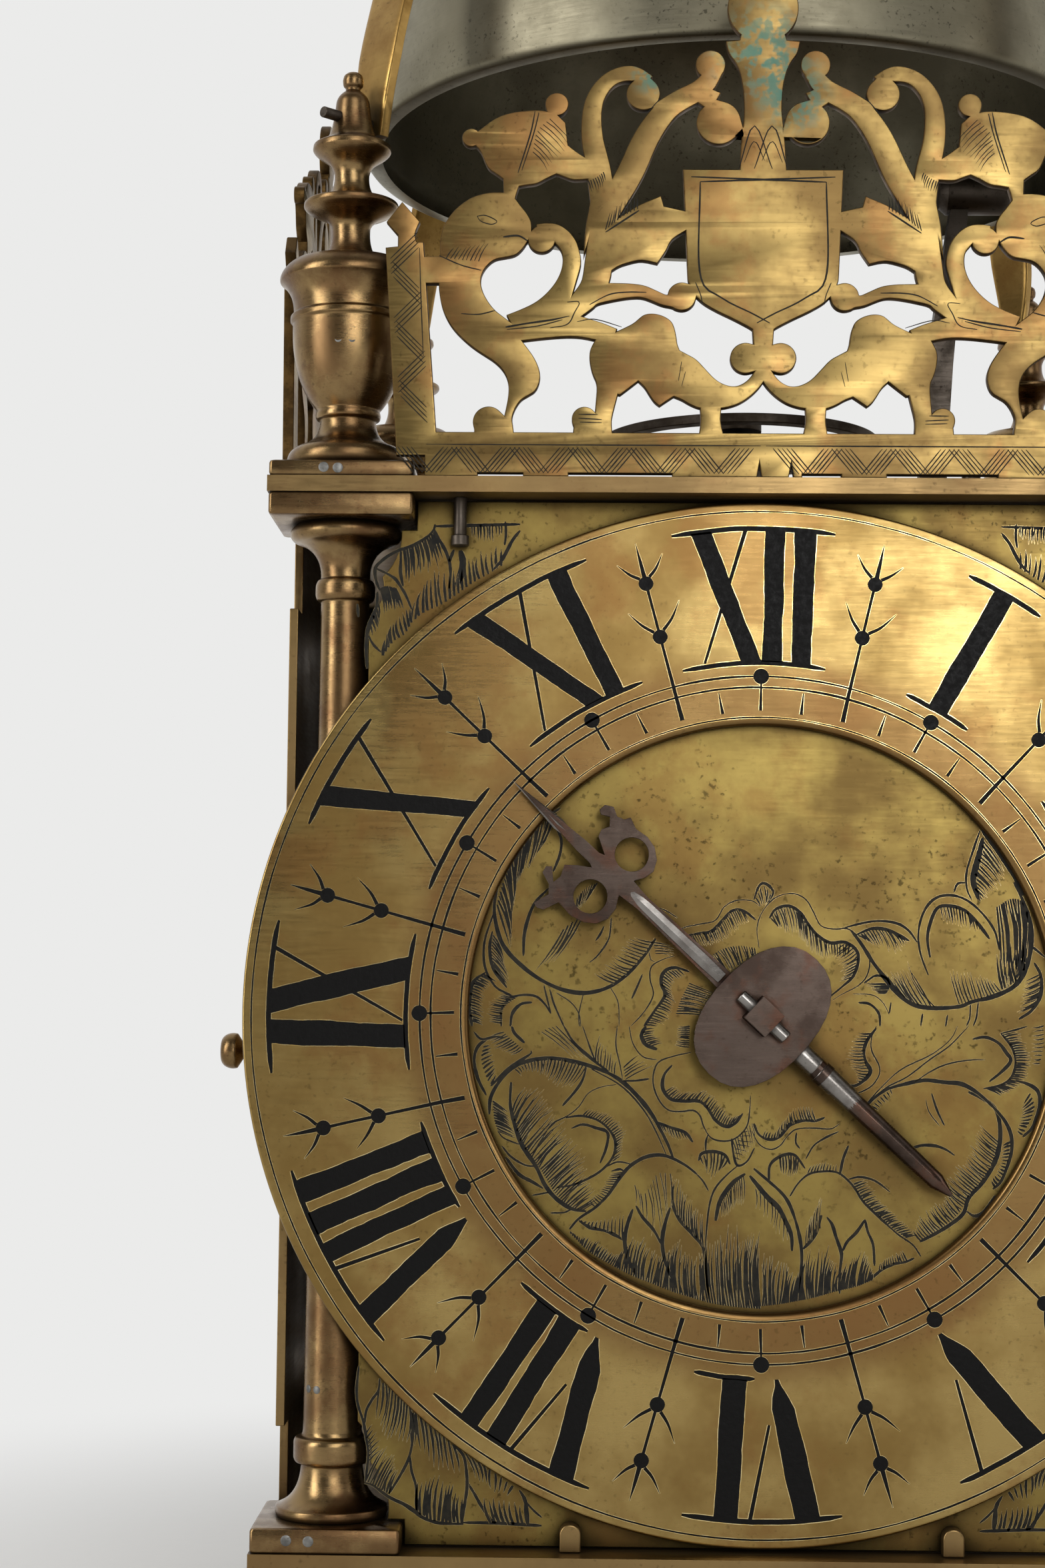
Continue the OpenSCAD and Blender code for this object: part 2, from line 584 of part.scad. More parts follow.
module fret_half_outline() {
    // Pilaster with an arrow-shaped top, and the link to the serpent's neck
    polygon([[-56.6, 3.2], [-58.7, 36], [-56.8, 36.2], [-56.8, 38], [-58.6, 40.1], [-56.2, 43.3],
        [-53.4, 40.1], [-54.2, 38.3], [-53.9, 36.9], [-52.8, 36.9], [-50.4, 6], [-51, 3.2]]);
    translate([-53.4, 30.3]) square([4.6, 4.3]);
    // Serpent: head, throat, swelling body and leg
    polygon(loop_curve([
        [-50.2, 35], [-50, 38.6], [-48.3, 41.7], [-45.3, 44.1], [-41.8, 44.9], [-39.3, 44.5], [-37.7, 42.7],
        [-36, 40.2], [-36.4, 37.4], [-38.4, 34.8], [-41.7, 34.2], [-43.7, 31.8], [-43.5, 29], [-41.6, 26.1],
        [-39.1, 24.2], [-37.6, 21.6], [-35.5, 18.8], [-34.4, 15.9], [-35.2, 13.3], [-37.4, 12], [-38.8, 9.2],
        [-38.4, 6], [-41, 6], [-39.9, 9.8], [-39.3, 13.5], [-39.9, 16.1], [-41.7, 18.1], [-44.8, 20.1],
        [-48.1, 23.2], [-49.9, 26.8], [-50.4, 31],
    ], 2));
    translate([-42.4, 8.5]) circle(r = 2.5);
    translate([-44.6, 6]) square([6, 2]);
    // Scroll that the serpent bites, and the branch along the bottom
    vine([[-35.2, 38.6, 2.4], [-32.4, 38.5, 3], [-30.1, 36.3, 2.8], [-29.8, 32.8, 2.8], [-31.3, 29.2, 3],
        [-34.4, 25.8, 3.6], [-38.8, 23.4, 4.4]]);
    translate([-34.4, 37.4]) circle(r = 2.2);
    vine([[-39.4, 22.8, 3.6], [-33, 23.4, 3.2], [-28, 23.5, 3.2], [-23, 22, 2.6]]);
    // Trunk that splits into two volutes
    vine([[-34, 24.2, 3.4], [-29.6, 26.4, 3.8], [-26.2, 29.8, 4.2], [-25.6, 34.4, 4.6], [-25.2, 39.4, 4.8],
        [-23.8, 45.6, 5]]);
    vine([[-24.8, 42.8, 4], [-25.6, 48.6, 3.8], [-26.7, 54, 3.4], [-26.4, 59.4, 2.9], [-24, 63, 2.5],
        [-20.6, 64, 2.6], [-18.2, 62.4, 3]], 3);
    translate([-18.7, 60.7]) circle(r = 2.7);
    vine([[-23.6, 42.8, 4], [-20.6, 48.2, 4.2], [-18, 54, 4], [-14.6, 58.6, 3.6], [-9.6, 61.6, 3.2],
        [-7.6, 64.6, 2.8]], 3);
    translate([-8.2, 65.4]) circle(r = 2.4);
    vine([[-11, 61.4, 2.6], [-7.4, 59.4, 3.4]]);
    // Hooded bud with two small knobs
    polygon(loop_curve([
        [-45.6, 53.4], [-43.9, 55.1], [-40.9, 57.2], [-36.6, 58], [-33.4, 57.8], [-30.8, 56], [-30.4, 52.4],
        [-27.6, 50.4], [-26, 47.6], [-29.6, 46.8], [-32.2, 47.8], [-35.2, 46.2], [-38, 45.8], [-38.6, 43.6],
        [-40.4, 43.8], [-40.5, 47], [-42.8, 48.6], [-44, 51.4],
    ], 2));
    translate([-32.2, 59]) circle(r = 1.9);
    translate([-45.5, 53.6]) circle(r = 1.5);
    // Leaf from the trunk to the shield
    polygon([[-26.8, 37.4], [-22.6, 40.8], [-19.4, 42.9], [-15.9, 44.4], [-15.4, 42.7], [-11.4, 41.8],
        [-11.4, 39.2], [-14.3, 37.4], [-15, 35.6], [-16.4, 33.6], [-19, 34.2], [-22.2, 33.3], [-25.6, 31]]);
    // Tendril to the shield's side
    vine([[-26, 28.8, 3.4], [-22.4, 29.2, 2.6], [-18.6, 29.2, 2], [-15.4, 27.8, 1.8], [-13, 27.8, 2.4]]);
    translate([-12.6, 28.4]) circle(r = 2.3);
    // Lion: haunch, back, chest and tail, with a paw and a short leg on the base
    polygon(loop_curve([
        [-26.9, 18.4], [-26.2, 21.1], [-23.2, 22.6], [-20.1, 24.1], [-18.5, 25.5], [-16.3, 25.6], [-14.1, 24.4],
        [-13.4, 21.9], [-12.9, 19.9], [-10.3, 18.5], [-7.3, 15.2], [-4.4, 14.2], [-2.2, 15.4], [-0.6, 17.6],
        [0.8, 16.6], [-0.6, 14], [-3, 11.9], [-5.6, 10.9], [-9, 10.6], [-11.4, 11.4], [-13.8, 12.6],
        [-16, 11.1], [-17.5, 12.7], [-19.3, 15], [-22.1, 12.8], [-25.5, 14.3],
    ], 2));
    polygon([[-25.6, 15], [-22.4, 13], [-23.4, 9], [-23.2, 6], [-29.4, 6], [-29.2, 8.6], [-26, 9.8]]);
    translate([-27.6, 9]) circle(r = 2);
    polygon([[-9.8, 11.6], [-6.4, 11.6], [-6.6, 8.8], [-6, 6], [-10, 6], [-9.6, 8.8]]);
    // Half of the knot under the shield, and of the cup and lobes over it
    translate([-2.7, 18.7]) circle(r = 2.5);
    translate([-6.9, 56.1]) circle(r = 3.6);
    polygon([[0.1, 16.2], [-1.2, 16.2], [-1.5, 20.4], [-1.7, 23.6], [0.1, 24.6]]);
    polygon(concat(
        [[0.1, 48], [-3.7, 48], [-3.4, 53]],
        bow([-2.9, 58], [-2.9, 62.4], [-3.4, 65.4], [-5.4, 67.2], 4),
        [[-5.4, 67.2], [-5.8, 69.2], [-3.7, 69.4], [-3.4, 70.4], [0.1, 70.4]]
    ));
    // Half of the shield
    polygon(concat([[0.1, 48.6], [-12.5, 48.6]], bow([-11.7, 31], [-11.2, 26], [-3.8, 25.8], [0.1, 21.8], 6), [[0.1, 21.8]]));
}

// Places along the base strip where its lower edge stands clear of the plate: [from, to]
relief_h = 0.5;
reliefs = [[-44, -37], [-30, -14], [6, 12], [19, 36]];
nick_x = [-0.6, 4.3];

module fret_outline() {
    difference() {
        offset(delta = -0.3) offset(delta = 0.3) {
            fret_half_outline($fn = 12);
            mirror([1, 0]) fret_half_outline($fn = 12);
            translate([0, 74.6]) circle(r = 5.6, $fn = 24);
            translate([-notch_x, 0]) square([2 * notch_x, base_h]);
        }
        for (r = reliefs) translate([r[0], -1]) square([r[1] - r[0], 1 + relief_h]);
        for (x = nick_x) polygon([[x - 0.4, -0.1], [x + 0.4, -0.1], [x, 2.1]]);
    }
}

// Fret with two lugs behind it that are screwed to the top plate
lug_at = 30;
lug_d = 5.5;
module fret() {
    color(brass) {
        upright(0, fret_t) scale([fret_half / drawn_half, fret_h / drawn_h]) fret_outline();
        for (x = [-1, 1]) translate([x * lug_at - 4, fret_t, 0]) cube([8, lug_d, 1.6]);
    }
}

module front_fret() {
    translate([0, -plate_half + 0.1, top_z]) fret();
}

module side_fret(side) {
    rotate([0, 0, side * 90]) translate([0, -plate_half + 0.1, top_z]) fret();
}

// Side doors

door_front_y = -corner + 5;
module door(side) {
    h = clear_h - 2 * seat_gap;
    notch_h = 16;
    hinge_x = side * (door_x + door_t / 2);
    color(brass) {
        difference() {
            translate([side > 0 ? door_x : -door_x - door_t, door_front_y, floor_z + seat_gap])
                cube([door_t, hinge_y + door_tail - door_front_y, h]);
            for (e = [[door_front_y - 1, -door_full_y], [door_full_y, hinge_y + door_tail + 1]],
                z = [floor_z - 1, roof_z - notch_h])
                translate([side * door_x - 5, e[0], z]) cube([10, e[1] - e[0], notch_h + 1]);
        }
        translate([hinge_x, hinge_y, floor_z + seat_gap]) cylinder(h = h, r = hinge_r);
        translate([hinge_x, hinge_y, foot_h + 0.2]) cylinder(h = clear_h + 2 * plate_t - 0.4, r = hinge_pin_r);
    }
}

knob_drop = 6.5;
module door_knob(side) {
    head_r = 2.75;
    color(brass) translate([side * (door_x + door_t), door_front_y + 9, dial_z - knob_drop])
        rotate([0, side * 90, 0]) rotate_extrude() polygon(concat(
            [[0, 0], [2.4, 0], [2.4, 0.8], [1.5, 1.4], [1.2, 3]],
            [[1.2, knob_l - 3.6], [2, knob_l - 3.1]],
            bow([head_r, knob_l - 2.6], [head_r + 0.3, knob_l - 1.8], [head_r, knob_l - 0.3], [1.6, knob_l], 5),
            [[1.6, knob_l], [0, knob_l]]
        ));
}

// Back

module back_plate() {
    color(brass) upright(-sheet_back_y, sheet_t) sheet_outline();
}

spur_x = 46;
spur_z = 16;
module wall_spurs() {
    y = -ring_back_y;
    color(iron) for (x = [-1, 1]) at(x * spur_x, floor_z + spur_z) {
        rod(y, y + 1.6, 5);
        translate([0, y + 1.5, 0]) rotate([-90, 0, 0]) cylinder(h = wall_y - y - 1.5, r1 = 2.6, r2 = 0.6);
    }
}

// Iron hoop riveted behind the top plate, leaning back to the wall
hoop_half = 17;
hoop_w = 5;
hoop_t = 3;
hoop_leg = 16;
hoop_l = hoop_leg + hoop_half + hoop_w;
hoop_lean = asin(wall_gap / norm([hoop_l, hoop_t])) - atan2(hoop_t, hoop_l);

function arch(r, s0) = concat([[r, s0]], [for (a = [0 : 10 : 180]) [r * cos(a), hoop_leg + r * sin(a)]], [[-r, s0]]);

module hanging_hoop() {
    foot_l = 9;
    start = hoop_t * tan(hoop_lean) + 0.2;
    color(iron) {
        for (x = [-1, 1]) translate([x * (hoop_half + hoop_w / 2) - hoop_w / 2 - 0.7, plate_half - foot_l, top_z])
            cube([hoop_w + 1.4, foot_l + hoop_t * 1.3, hoop_t]);
        translate([0, plate_half, top_z]) rotate([90 - hoop_lean, 0, 0]) translate([0, 0, -hoop_t])
            linear_extrude(hoop_t) polygon(concat(arch(hoop_half + hoop_w, start),
                [for (k = [0 : 20]) let (q = arch(hoop_half, start)) q[20 - k]]));
    }
}

// Bell and its strap

stud_r = 2.4;
bell_top = rim_z + bell_h;
lip = 3.4;

// Outside of the bell from the lip up to the crown, as radius and height above the rim
function bell_side(r, h) = concat(
    bow([r, lip * 0.5], [r - 0.6, h * 0.3], [r - 4, h * 0.62], [r * 0.7, h * 0.84], 9),
    bow([r * 0.7, h * 0.84], [r * 0.46, h * 0.98], [r * 0.3, h], [r * 0.14, h], 5),
    [[r * 0.14, h]]
);

module bell() {
    inner = bell_side(bell_r - bell_wall - 0.6, bell_h - bell_wall);
    color(bell_metal) translate([0, 0, rim_z]) rotate_extrude($fn = 96) polygon(concat(
        [[bell_r - lip, 0], [bell_r - 0.7, 0], [bell_r, 0.9]],
        bell_side(bell_r, bell_h),
        [[stud_r + pivot_fit, bell_h], [stud_r + pivot_fit, bell_h - bell_wall]],
        [for (i = [len(inner) - 1 : -1 : 0]) inner[i]]
    ));
}

// Cross of four arms that arch from the crown over the bell and down to the finials
arm_n = 14;
cap_x = corner * sqrt(2) - cap_r - seat_gap;
strap_foot_z = top_z + block_cap_h + 55.5;
strap_clear = 5;
crown_gap = 1.6;
strap_low_z = bell_top + crown_gap;

function arm_line(grow) = concat(
    [[0, strap_low_z + grow]],
    bow([10, strap_low_z + grow], [46 + grow, strap_low_z + 3 + grow], [cap_x - 13 + grow, rim_z + 44],
        [cap_x - 8 + grow, rim_z + 20], arm_n),
    bow([cap_x - 8 + grow, rim_z + 20], [cap_x - 6 + grow, rim_z + 8], [cap_x - strap_t + grow, rim_z],
        [cap_x - strap_t + grow, strap_foot_z], 5),
    [[cap_x - strap_t + grow, strap_foot_z]]
);

module strap_arm() {
    inside = arm_line(0);
    intersection() {
        rotate([90, 0, 0]) translate([0, 0, -strap_w / 2]) linear_extrude(strap_w)
            polygon(concat(arm_line(strap_t), [for (i = [len(inside) - 1 : -1 : 0]) inside[i]]));
        translate([-1, 0, 0]) rotate([90, 0, 90]) linear_extrude(cap_x + 20) polygon([
            [-2.4, strap_foot_z - 1], [2.4, strap_foot_z - 1], [strap_w / 2, strap_foot_z + 14],
            [strap_w / 2, bell_top + 20], [-strap_w / 2, bell_top + 20], [-strap_w / 2, strap_foot_z + 14],
        ]);
    }
}

module strap_pin_hole(r, l) {
    translate([corner * sqrt(2), 0, top_z + block_cap_h + cap_hole_z * finial_h / 65.4])
        rotate([0, -90, 0]) translate([0, 0, -l / 2]) cylinder(h = l, r = r);
}

pin_r = 0.9;
module bell_strap() {
    color(brass) difference() {
        union() {
            for (a = [45 : 90 : 315]) rotate([0, 0, a]) strap_arm();
            translate([0, 0, strap_low_z]) cylinder(h = strap_t, r = 9);
            translate([0, 0, bell_top]) cylinder(h = crown_gap, r = 6);
        }
        translate([0, 0, bell_top - 1]) cylinder(h = 20, r = stud_r + pivot_fit);
        for (a = [45 : 90 : 315]) rotate([0, 0, a]) strap_pin_hole(pin_r, 14);
    }
}

module strap_pins() {
    color(iron) for (a = [45 : 90 : 315]) rotate([0, 0, a]) strap_pin_hole(pin_r - 0.02, 12.4);
}

module corner_finial(x, y) {
    translate([x * corner, y * corner, 0]) finial()
        rotate([0, 0, atan2(y, x)]) translate([-corner * sqrt(2), 0, 0]) strap_pin_hole(pin_r, 14);
}

// Turned finial on the strap, with the stud that carries the bell
module bell_crown() {
    base = strap_low_z + strap_t;
    s = crown_h / 38;
    color(dark_brass) union() {
        translate([0, 0, base]) rotate_extrude() polygon([for (p = concat(
            [[0, 0], [7, 0]],
            bow([7, 0], [8.2, 0.8], [7.8, 2.4], [6, 3], 4),
            bow([6, 3], [4, 4], [3.4, 5.6], [3.6, 8], 5),
            bow([3.6, 8], [7.4, 9.6], [9.2, 13], [7.2, 18], 7),
            bow([7.2, 18], [6.8, 20], [9, 20.4], [8.6, 22], 4),
            bow([8.6, 22], [5, 23], [3, 24], [2.8, 27], 5),
            [[2.8, 27], [4.6, 27.6], [4.7, 28.4], [3, 29.2]],
            bow([3, 29.2], [1.6, 30.4], [1.8, 32], [2.8, 32.8], 4),
            bow([2.8, 32.8], [4.2, 34.4], [3.6, 37.6], [0, 38], 6)
        )) [p.x, p.y * s]]);
        translate([0, 0, bell_top - bell_wall - 7]) cylinder(h = base + 1 - bell_top + bell_wall + 7, r = stud_r);
    }
}

module bell_nut() {
    color(iron) translate([0, 0, bell_top - bell_wall - 4]) difference() {
        cylinder(h = 4, r = 5.2, $fn = 4);
        translate([0, 0, -1]) cylinder(h = 6, r = stud_r + 0.02);
    }
}

// Movement bars: uprights with tenons through the plates, and side arms for the hammer and detent arbors

arm_w = 7;
module bar_outline(left, right) {
    translate([-bar_w / 2, floor_z]) square([bar_w, clear_h]);
    translate([-tenon_w / 2, foot_h + 0.2]) square([tenon_w, clear_h + 2 * plate_t + 5.4]);
    if (left) translate([detent_x, detent_z - arm_w / 2]) square([-detent_x, arm_w]);
    if (left) translate([detent_x, detent_z]) circle(r = arm_w / 2);
    if (right) translate([0, hammer_z - arm_w / 2]) square([hammer_x, arm_w]);
    if (right) translate([hammer_x, hammer_z]) circle(r = arm_w / 2);
}

wedge_h = 2.6;
module wedge_slot() {
    translate([-1.6, top_z]) square([3.2, wedge_h]);
}

module pivot_hole(x, z, r = pivot_r) {
    translate([x, z]) circle(r = r + pivot_fit);
}

module front_bar() {
    color(brass) upright(-bar_y - bar_t / 2, bar_t) difference() {
        bar_outline(true, false);
        wedge_slot();
        pivot_hole(0, great_z, great_arbor_r);
        pivot_hole(0, dial_z, hour_arbor_r);
        pivot_hole(0, second_z);
        pivot_hole(0, third_z);
        pivot_hole(detent_x, detent_z, detent_r);
    }
}

module centre_bar() {
    color(brass) upright(-bar_t / 2, bar_t) difference() {
        bar_outline(false, true);
        wedge_slot();
        pivot_hole(0, great_z, great_pivot_r);
        for (z = [second_z, third_z, fly_z]) pivot_hole(0, z);
        pivot_hole(hammer_x, hammer_z, great_pivot_r);
    }
}

module back_bar() {
    color(brass) {
        upright(bar_y - bar_t / 2, bar_t) difference() {
            bar_outline(true, true);
            wedge_slot();
            pivot_hole(0, great_z, great_arbor_r);
            for (z = [second_z, third_z, fly_z]) pivot_hole(0, z);
            pivot_hole(hammer_x, hammer_z, great_pivot_r);
            pivot_hole(detent_x, detent_z, detent_r);
        }
        at(0, dial_z) rod(bar_back, bar_back + 11.4, hour_arbor_r);
    }
}

module bar_wedges() {
    color(iron) for (y = [-1, 0, 1]) translate([0, y * bar_y + 6, top_z]) rotate([90, 0, 0])
        linear_extrude(12) translate([-1.5, 0]) square([3, wedge_h - 0.1]);
}

// Great wheels, with pins on the strike wheel that lift the hammer

click_x = pulley_r - 4.4;
module great_wheel(y, face, pins) {
    color(brass) at(0, great_z) difference() {
        union() {
            upright(y, great_t) rotate(90) crossed_wheel(great_teeth, train_m, 5, 11, great_arbor_r - 0.3);
            if (pins > 0) for (k = [1 : pins]) rotate([0, 15 + k * 360 / pins, 0]) at(18.6, 0) rod(y + 1, y + 5.2, 1);
            // Click that rests against the pulley's ratchet
            rotate([0, 30, 0]) translate([click_x + 3.6, face > 0 ? y + great_t - 0.2 : y - 1.6, -5]) cube([1.6, 1.8, 8]);
        }
        rod(y - 9, y + 9, great_arbor_r);
    }
}

ratchet_r = pulley_r - 1.4;
module pulley(y, face) {
    w = pulley_w;
    color(brass) at(0, great_z) difference() {
        union() {
            translate([0, face > 0 ? y : y + w, 0]) rotate([face > 0 ? -90 : 90, 0, 0]) rotate_extrude() polygon(concat(
                [[0, 0.6], [5, 0.6], [5, 1.8], [pulley_r, 1.8], [pulley_r, 3]],
                bow([pulley_r, 3], [pulley_r - 4, 4.6], [pulley_r - 4, w - 4.4], [pulley_r, w - 2.6], 6),
                [[pulley_r, w - 2.6], [pulley_r, w - 1.4], [5, w - 1.4], [5, w], [0, w]]
            ));
            upright(face > 0 ? y + 0.8 : y + w - 1.8, 1) polygon([for (k = [0 : 15], e = [0, 1])
                (ratchet_r - e * 1.8) * [cos(22.5 * k + e * 3), sin(22.5 * k + e * 3)]]);
        }
        rod(y - 9, y + w + 9, great_arbor_r + pivot_fit);
    }
}

module going_arbor() {
    color(steel) at(0, great_z) {
        rod(-bar_back - 8.6, -bar_t / 2 - shake, great_arbor_r);
        rod(-bar_t, pivot_l(0) - bar_t / 2, great_pivot_r);
        pinion(-bar_back - 8.4, pinion_w, report_leaves, report_m, 90 - 180 / report_leaves);
    }
}

module strike_arbor() {
    color(steel) at(0, great_z) {
        rod(bar_t / 2 + shake, report_y + pinion_w, great_arbor_r);
        rod(bar_t / 2 - pivot_l(0), bar_t, great_pivot_r);
        pinion(report_y, pinion_w, report_leaves, report_m, 90 - 180 / report_leaves);
    }
}

// Second and third wheels on their arbors

module train_wheel(z, y, n, y0, y1, pinion_y, leaves) {
    color(brass) at(0, z) upright(y, wheel_t) rotate(90) crossed_wheel(n, train_m, 3, 5, arbor_r - 0.2);
    color(steel) at(0, z) {
        pivoted_arbor(y0, y1, arbor_r, pivot_r);
        pinion(pinion_y, pinion_w, leaves, train_m, 270 - 180 / leaves);
    }
}

module second_wheel() {
    train_wheel(second_z, second_y, second_teeth, -bar_face, -bar_t / 2, going_great_y - 1, second_leaves);
}

// Crown wheel: a cup whose rim is cut into saw teeth that face the verge
crown_teeth = 15;
module crown_wheel() {
    wall = 1.3;
    tooth = 3;
    rim_y = crown_web_y + crown_depth;
    color(brass) at(0, third_z) difference() {
        translate([0, crown_web_y, 0]) rotate([-90, 0, 0]) difference() {
            cylinder(h = crown_depth, r = crown_r);
            translate([0, 0, wheel_t]) cylinder(h = crown_depth, r = crown_r - wall);
            translate([0, 0, -1]) cylinder(h = 9, r = arbor_r - 0.1);
            for (k = [0 : 3]) rotate(90 * k + 45) translate([0, 0, -1]) linear_extrude(4)
                polygon(crossing_gap(4.6, crown_r - wall - 2.4, 4, 2.8));
        }
        for (k = [1 : crown_teeth]) rotate([0, k * 360 / crown_teeth, 0])
            translate([crown_r - wall - 1, rim_y, 0]) rotate([90, 0, 90]) linear_extrude(wall + 2)
                polygon([[-0.01, -tooth], [2.6, 0.1], [-2.6, 0.1], [-1.4, -tooth]]);
    }
    color(steel) at(0, third_z) {
        rod(-bar_face + 0.6, crown_web_y + wheel_t + 0.8, arbor_r);
        rod(-bar_face - pivot_l(bar_face), -bar_face + 1, pivot_r);
        rod(crown_web_y + wheel_t, crown_web_y + wheel_t + 3.6, pivot_r);
        pinion(second_y - 1.3, pinion_w, pinion_leaves, train_m, 270 - 180 / pinion_leaves);
    }
}

// Bracket on the centre bar: an upper nose inside the crown wheel and a lower arm under the verge
verge_foot_z = third_z - 19.4;
verge_r = 0.9;
module verge_potence() {
    nose_y = crown_web_y + wheel_t + 1.2;
    back_y = -bar_t / 2;
    color(brass) difference() {
        union() {
            translate([2.2, nose_y, third_z - 2.5]) cube([4.6, back_y - nose_y, 5]);
            translate([-2.6, nose_y, third_z - 2.5]) cube([6, 2.6, 5]);
            translate([-2.6, verge_y - 3, verge_foot_z - 2.6]) cube([9.4, back_y - verge_y + 3, 2.6]);
            translate([2.2, back_y - 2, verge_foot_z - 2.6]) cube([4.6, 2, third_z - verge_foot_z + 5.1]);
        }
        at(0, third_z) rod(nose_y - 1, nose_y + 4, pivot_r + pivot_fit);
        translate([0, verge_y, verge_foot_z - 4]) cylinder(h = 8, r = verge_r - 0.2 + pivot_fit);
    }
}

// Verge: upright staff with two pallets that meet opposite teeth of the crown wheel
pallet_h = 3.4;
module verge_staff() {
    pallet_z = crown_r - 2.4;
    color(steel) translate([0, verge_y, 0]) {
        translate([0, 0, verge_foot_z + 0.3]) cylinder(h = balance_z + balance_t + 1 - verge_foot_z, r = verge_r);
        translate([0, 0, verge_foot_z - 2.4]) cylinder(h = 4, r = verge_r - 0.2);
        translate([0, 0, balance_z + balance_t]) cylinder(h = 5, r = verge_r - 0.2);
        for (s = [-1, 1]) rotate([0, 0, 180 + s * 50]) translate([0, 0, third_z + s * pallet_z - pallet_h / 2])
            translate([-0.4, 0, 0]) cube([0.8, verge_reach, pallet_h]);
    }
}

module balance_wheel() {
    color(dark_brass) translate([0, verge_y, balance_z]) difference() {
        union() {
            difference() {
                cylinder(h = balance_t, r = balance_r);
                translate([0, 0, -1]) cylinder(h = 4, r = balance_r - 2.6);
            }
            translate([-balance_r + 1, -1.8, 0]) cube([2 * balance_r - 2, 3.6, balance_t]);
            cylinder(h = balance_t, r = 4);
        }
        translate([0, 0, -1]) cylinder(h = 4, r = verge_r);
    }
}

// Cock over the balance, standing on the top plate behind it
module balance_cock() {
    post_y = verge_y + balance_r + 3.4;
    arm_z = balance_z + balance_t + 1.6;
    color(brass) difference() {
        union() {
            translate([-4, post_y, top_z]) cube([8, 3, arm_z - top_z + 2.6]);
            translate([-4, post_y, top_z]) cube([8, 11, 2.4]);
            translate([-3, verge_y - 1, arm_z]) cube([6, post_y - verge_y + 2, 2.6]);
            translate([0, verge_y, arm_z]) cylinder(h = 2.6, r = 4);
        }
        translate([0, verge_y, arm_z - 1]) cylinder(h = 6, r = verge_r - 0.2 + pivot_fit);
    }
}

// Strike train

strike_pins = 8;

// Hoop wheel: second wheel of the strike, with a gapped band that the detent locks
hoop_r = 19;
module hoop_wheel() {
    train_wheel(second_z, hoop_y, second_teeth, bar_t / 2, bar_face, strike_great_y - 1, second_leaves);
    color(brass) at(0, second_z) upright(hoop_y - 2, 2.1) difference() {
        circle(r = hoop_r);
        circle(r = hoop_r - 1.4);
        rotate(200) polygon([[0, 0], [30, 8], [30, -8]]);
    }
}

module warning_wheel() {
    train_wheel(third_z, warning_y, warning_teeth, bar_t / 2, bar_face, hoop_y - 1.3, pinion_leaves);
    color(steel) at(17, third_z) rod(warning_y - 2.4, warning_y + 1, 0.8);
}

fly_l = 18;
fly_r = 10;
module fly() {
    color(brass) at(0, fly_z) translate([-fly_r, bar_face - 4 - fly_l, -0.5]) cube([2 * fly_r, fly_l, 1]);
    color(steel) at(0, fly_z) {
        pivoted_arbor(bar_t / 2, bar_face, arbor_r, pivot_r);
        pinion(warning_y - 1.3, pinion_w, pinion_leaves, train_m, 270 - 180 / pinion_leaves);
    }
}

// Count wheel: notches after one, three, six and so on of the seventy-eight blows of twelve hours
count_r = 26.5;
blows = 78;
module count_wheel() {
    y = bar_back + 4.6;
    gear_y = report_y + 1.3;
    color(brass) at(0, dial_z) difference() {
        union() {
            upright(y, 1.2) difference() {
                circle(r = count_r);
                for (k = [1 : 12]) rotate(k * (k + 1) / 2 * 360 / blows) translate([count_r - 2.4, -0.9]) square([4, 1.8]);
            }
            upright(gear_y, wheel_t) rotate(270) crossed_wheel(hour_teeth, report_m, 4, 6, hour_arbor_r + 1);
            rod(y - 0.6, gear_y + wheel_t + 0.8, 5);
        }
        rod(y - 3, y + 12, hour_arbor_r + pivot_fit);
    }
}

// Hammer: arbor, lifting tail, tapering shaft through the top plate and a forged head inside the bell

hammer_head_r = 4.4;
hammer_head_z = rim_z + 2.6;
head_reach = 56.3;
hub_r = 3.6;
head_l = 15;
shaft_t = 4;
tail_w = 2.6;
module hammer() {
    low = hammer_z;
    high = hammer_head_z;
    side = [[hammer_x, low], [hammer_x + 0.6, low + 60], [hammer_x + 2, low + 126], [hammer_x + 7.6, high]];
    half = [2.6, 2.3, 2.6, 1.6];
    left = open_curve([for (i = [0 : 3]) side[i] - [half[i], 0]], 4);
    right = open_curve([for (i = [0 : 3]) side[i] + [half[i], 0]], 4);
    color(iron) {
        at(hammer_x, hammer_z) pivoted_arbor(bar_t / 2, bar_face, great_arbor_r, great_pivot_r);
        at(hammer_x, hammer_z) rod(hammer_y - 3, hammer_y + 9.4, hub_r);
        upright(hammer_y - shaft_t / 2, shaft_t)
            polygon(concat(left, [for (i = [len(right) - 1 : -1 : 0]) right[i]]));
        upright(hammer_y + 6.4, tail_w) polygon([
            [hammer_x - 1, hammer_z + 3.2], [hammer_x - 17.2, hammer_z - 15.2], [hammer_x - 15.4, hammer_z - 16.6],
            [hammer_x + 2, hammer_z - 3],
        ]);
        translate([head_reach - head_l, hammer_y, hammer_head_z]) rotate([0, 90, 0]) rotate_extrude() polygon(concat(
            [[0, 0], [3.2, 0], [hammer_head_r, 1.4], [hammer_head_r, head_l - 3]],
            bow([hammer_head_r, head_l - 3], [hammer_head_r, head_l - 1], [2.4, head_l], [0, head_l], 4),
            [[0, head_l]]
        ));
    }
}

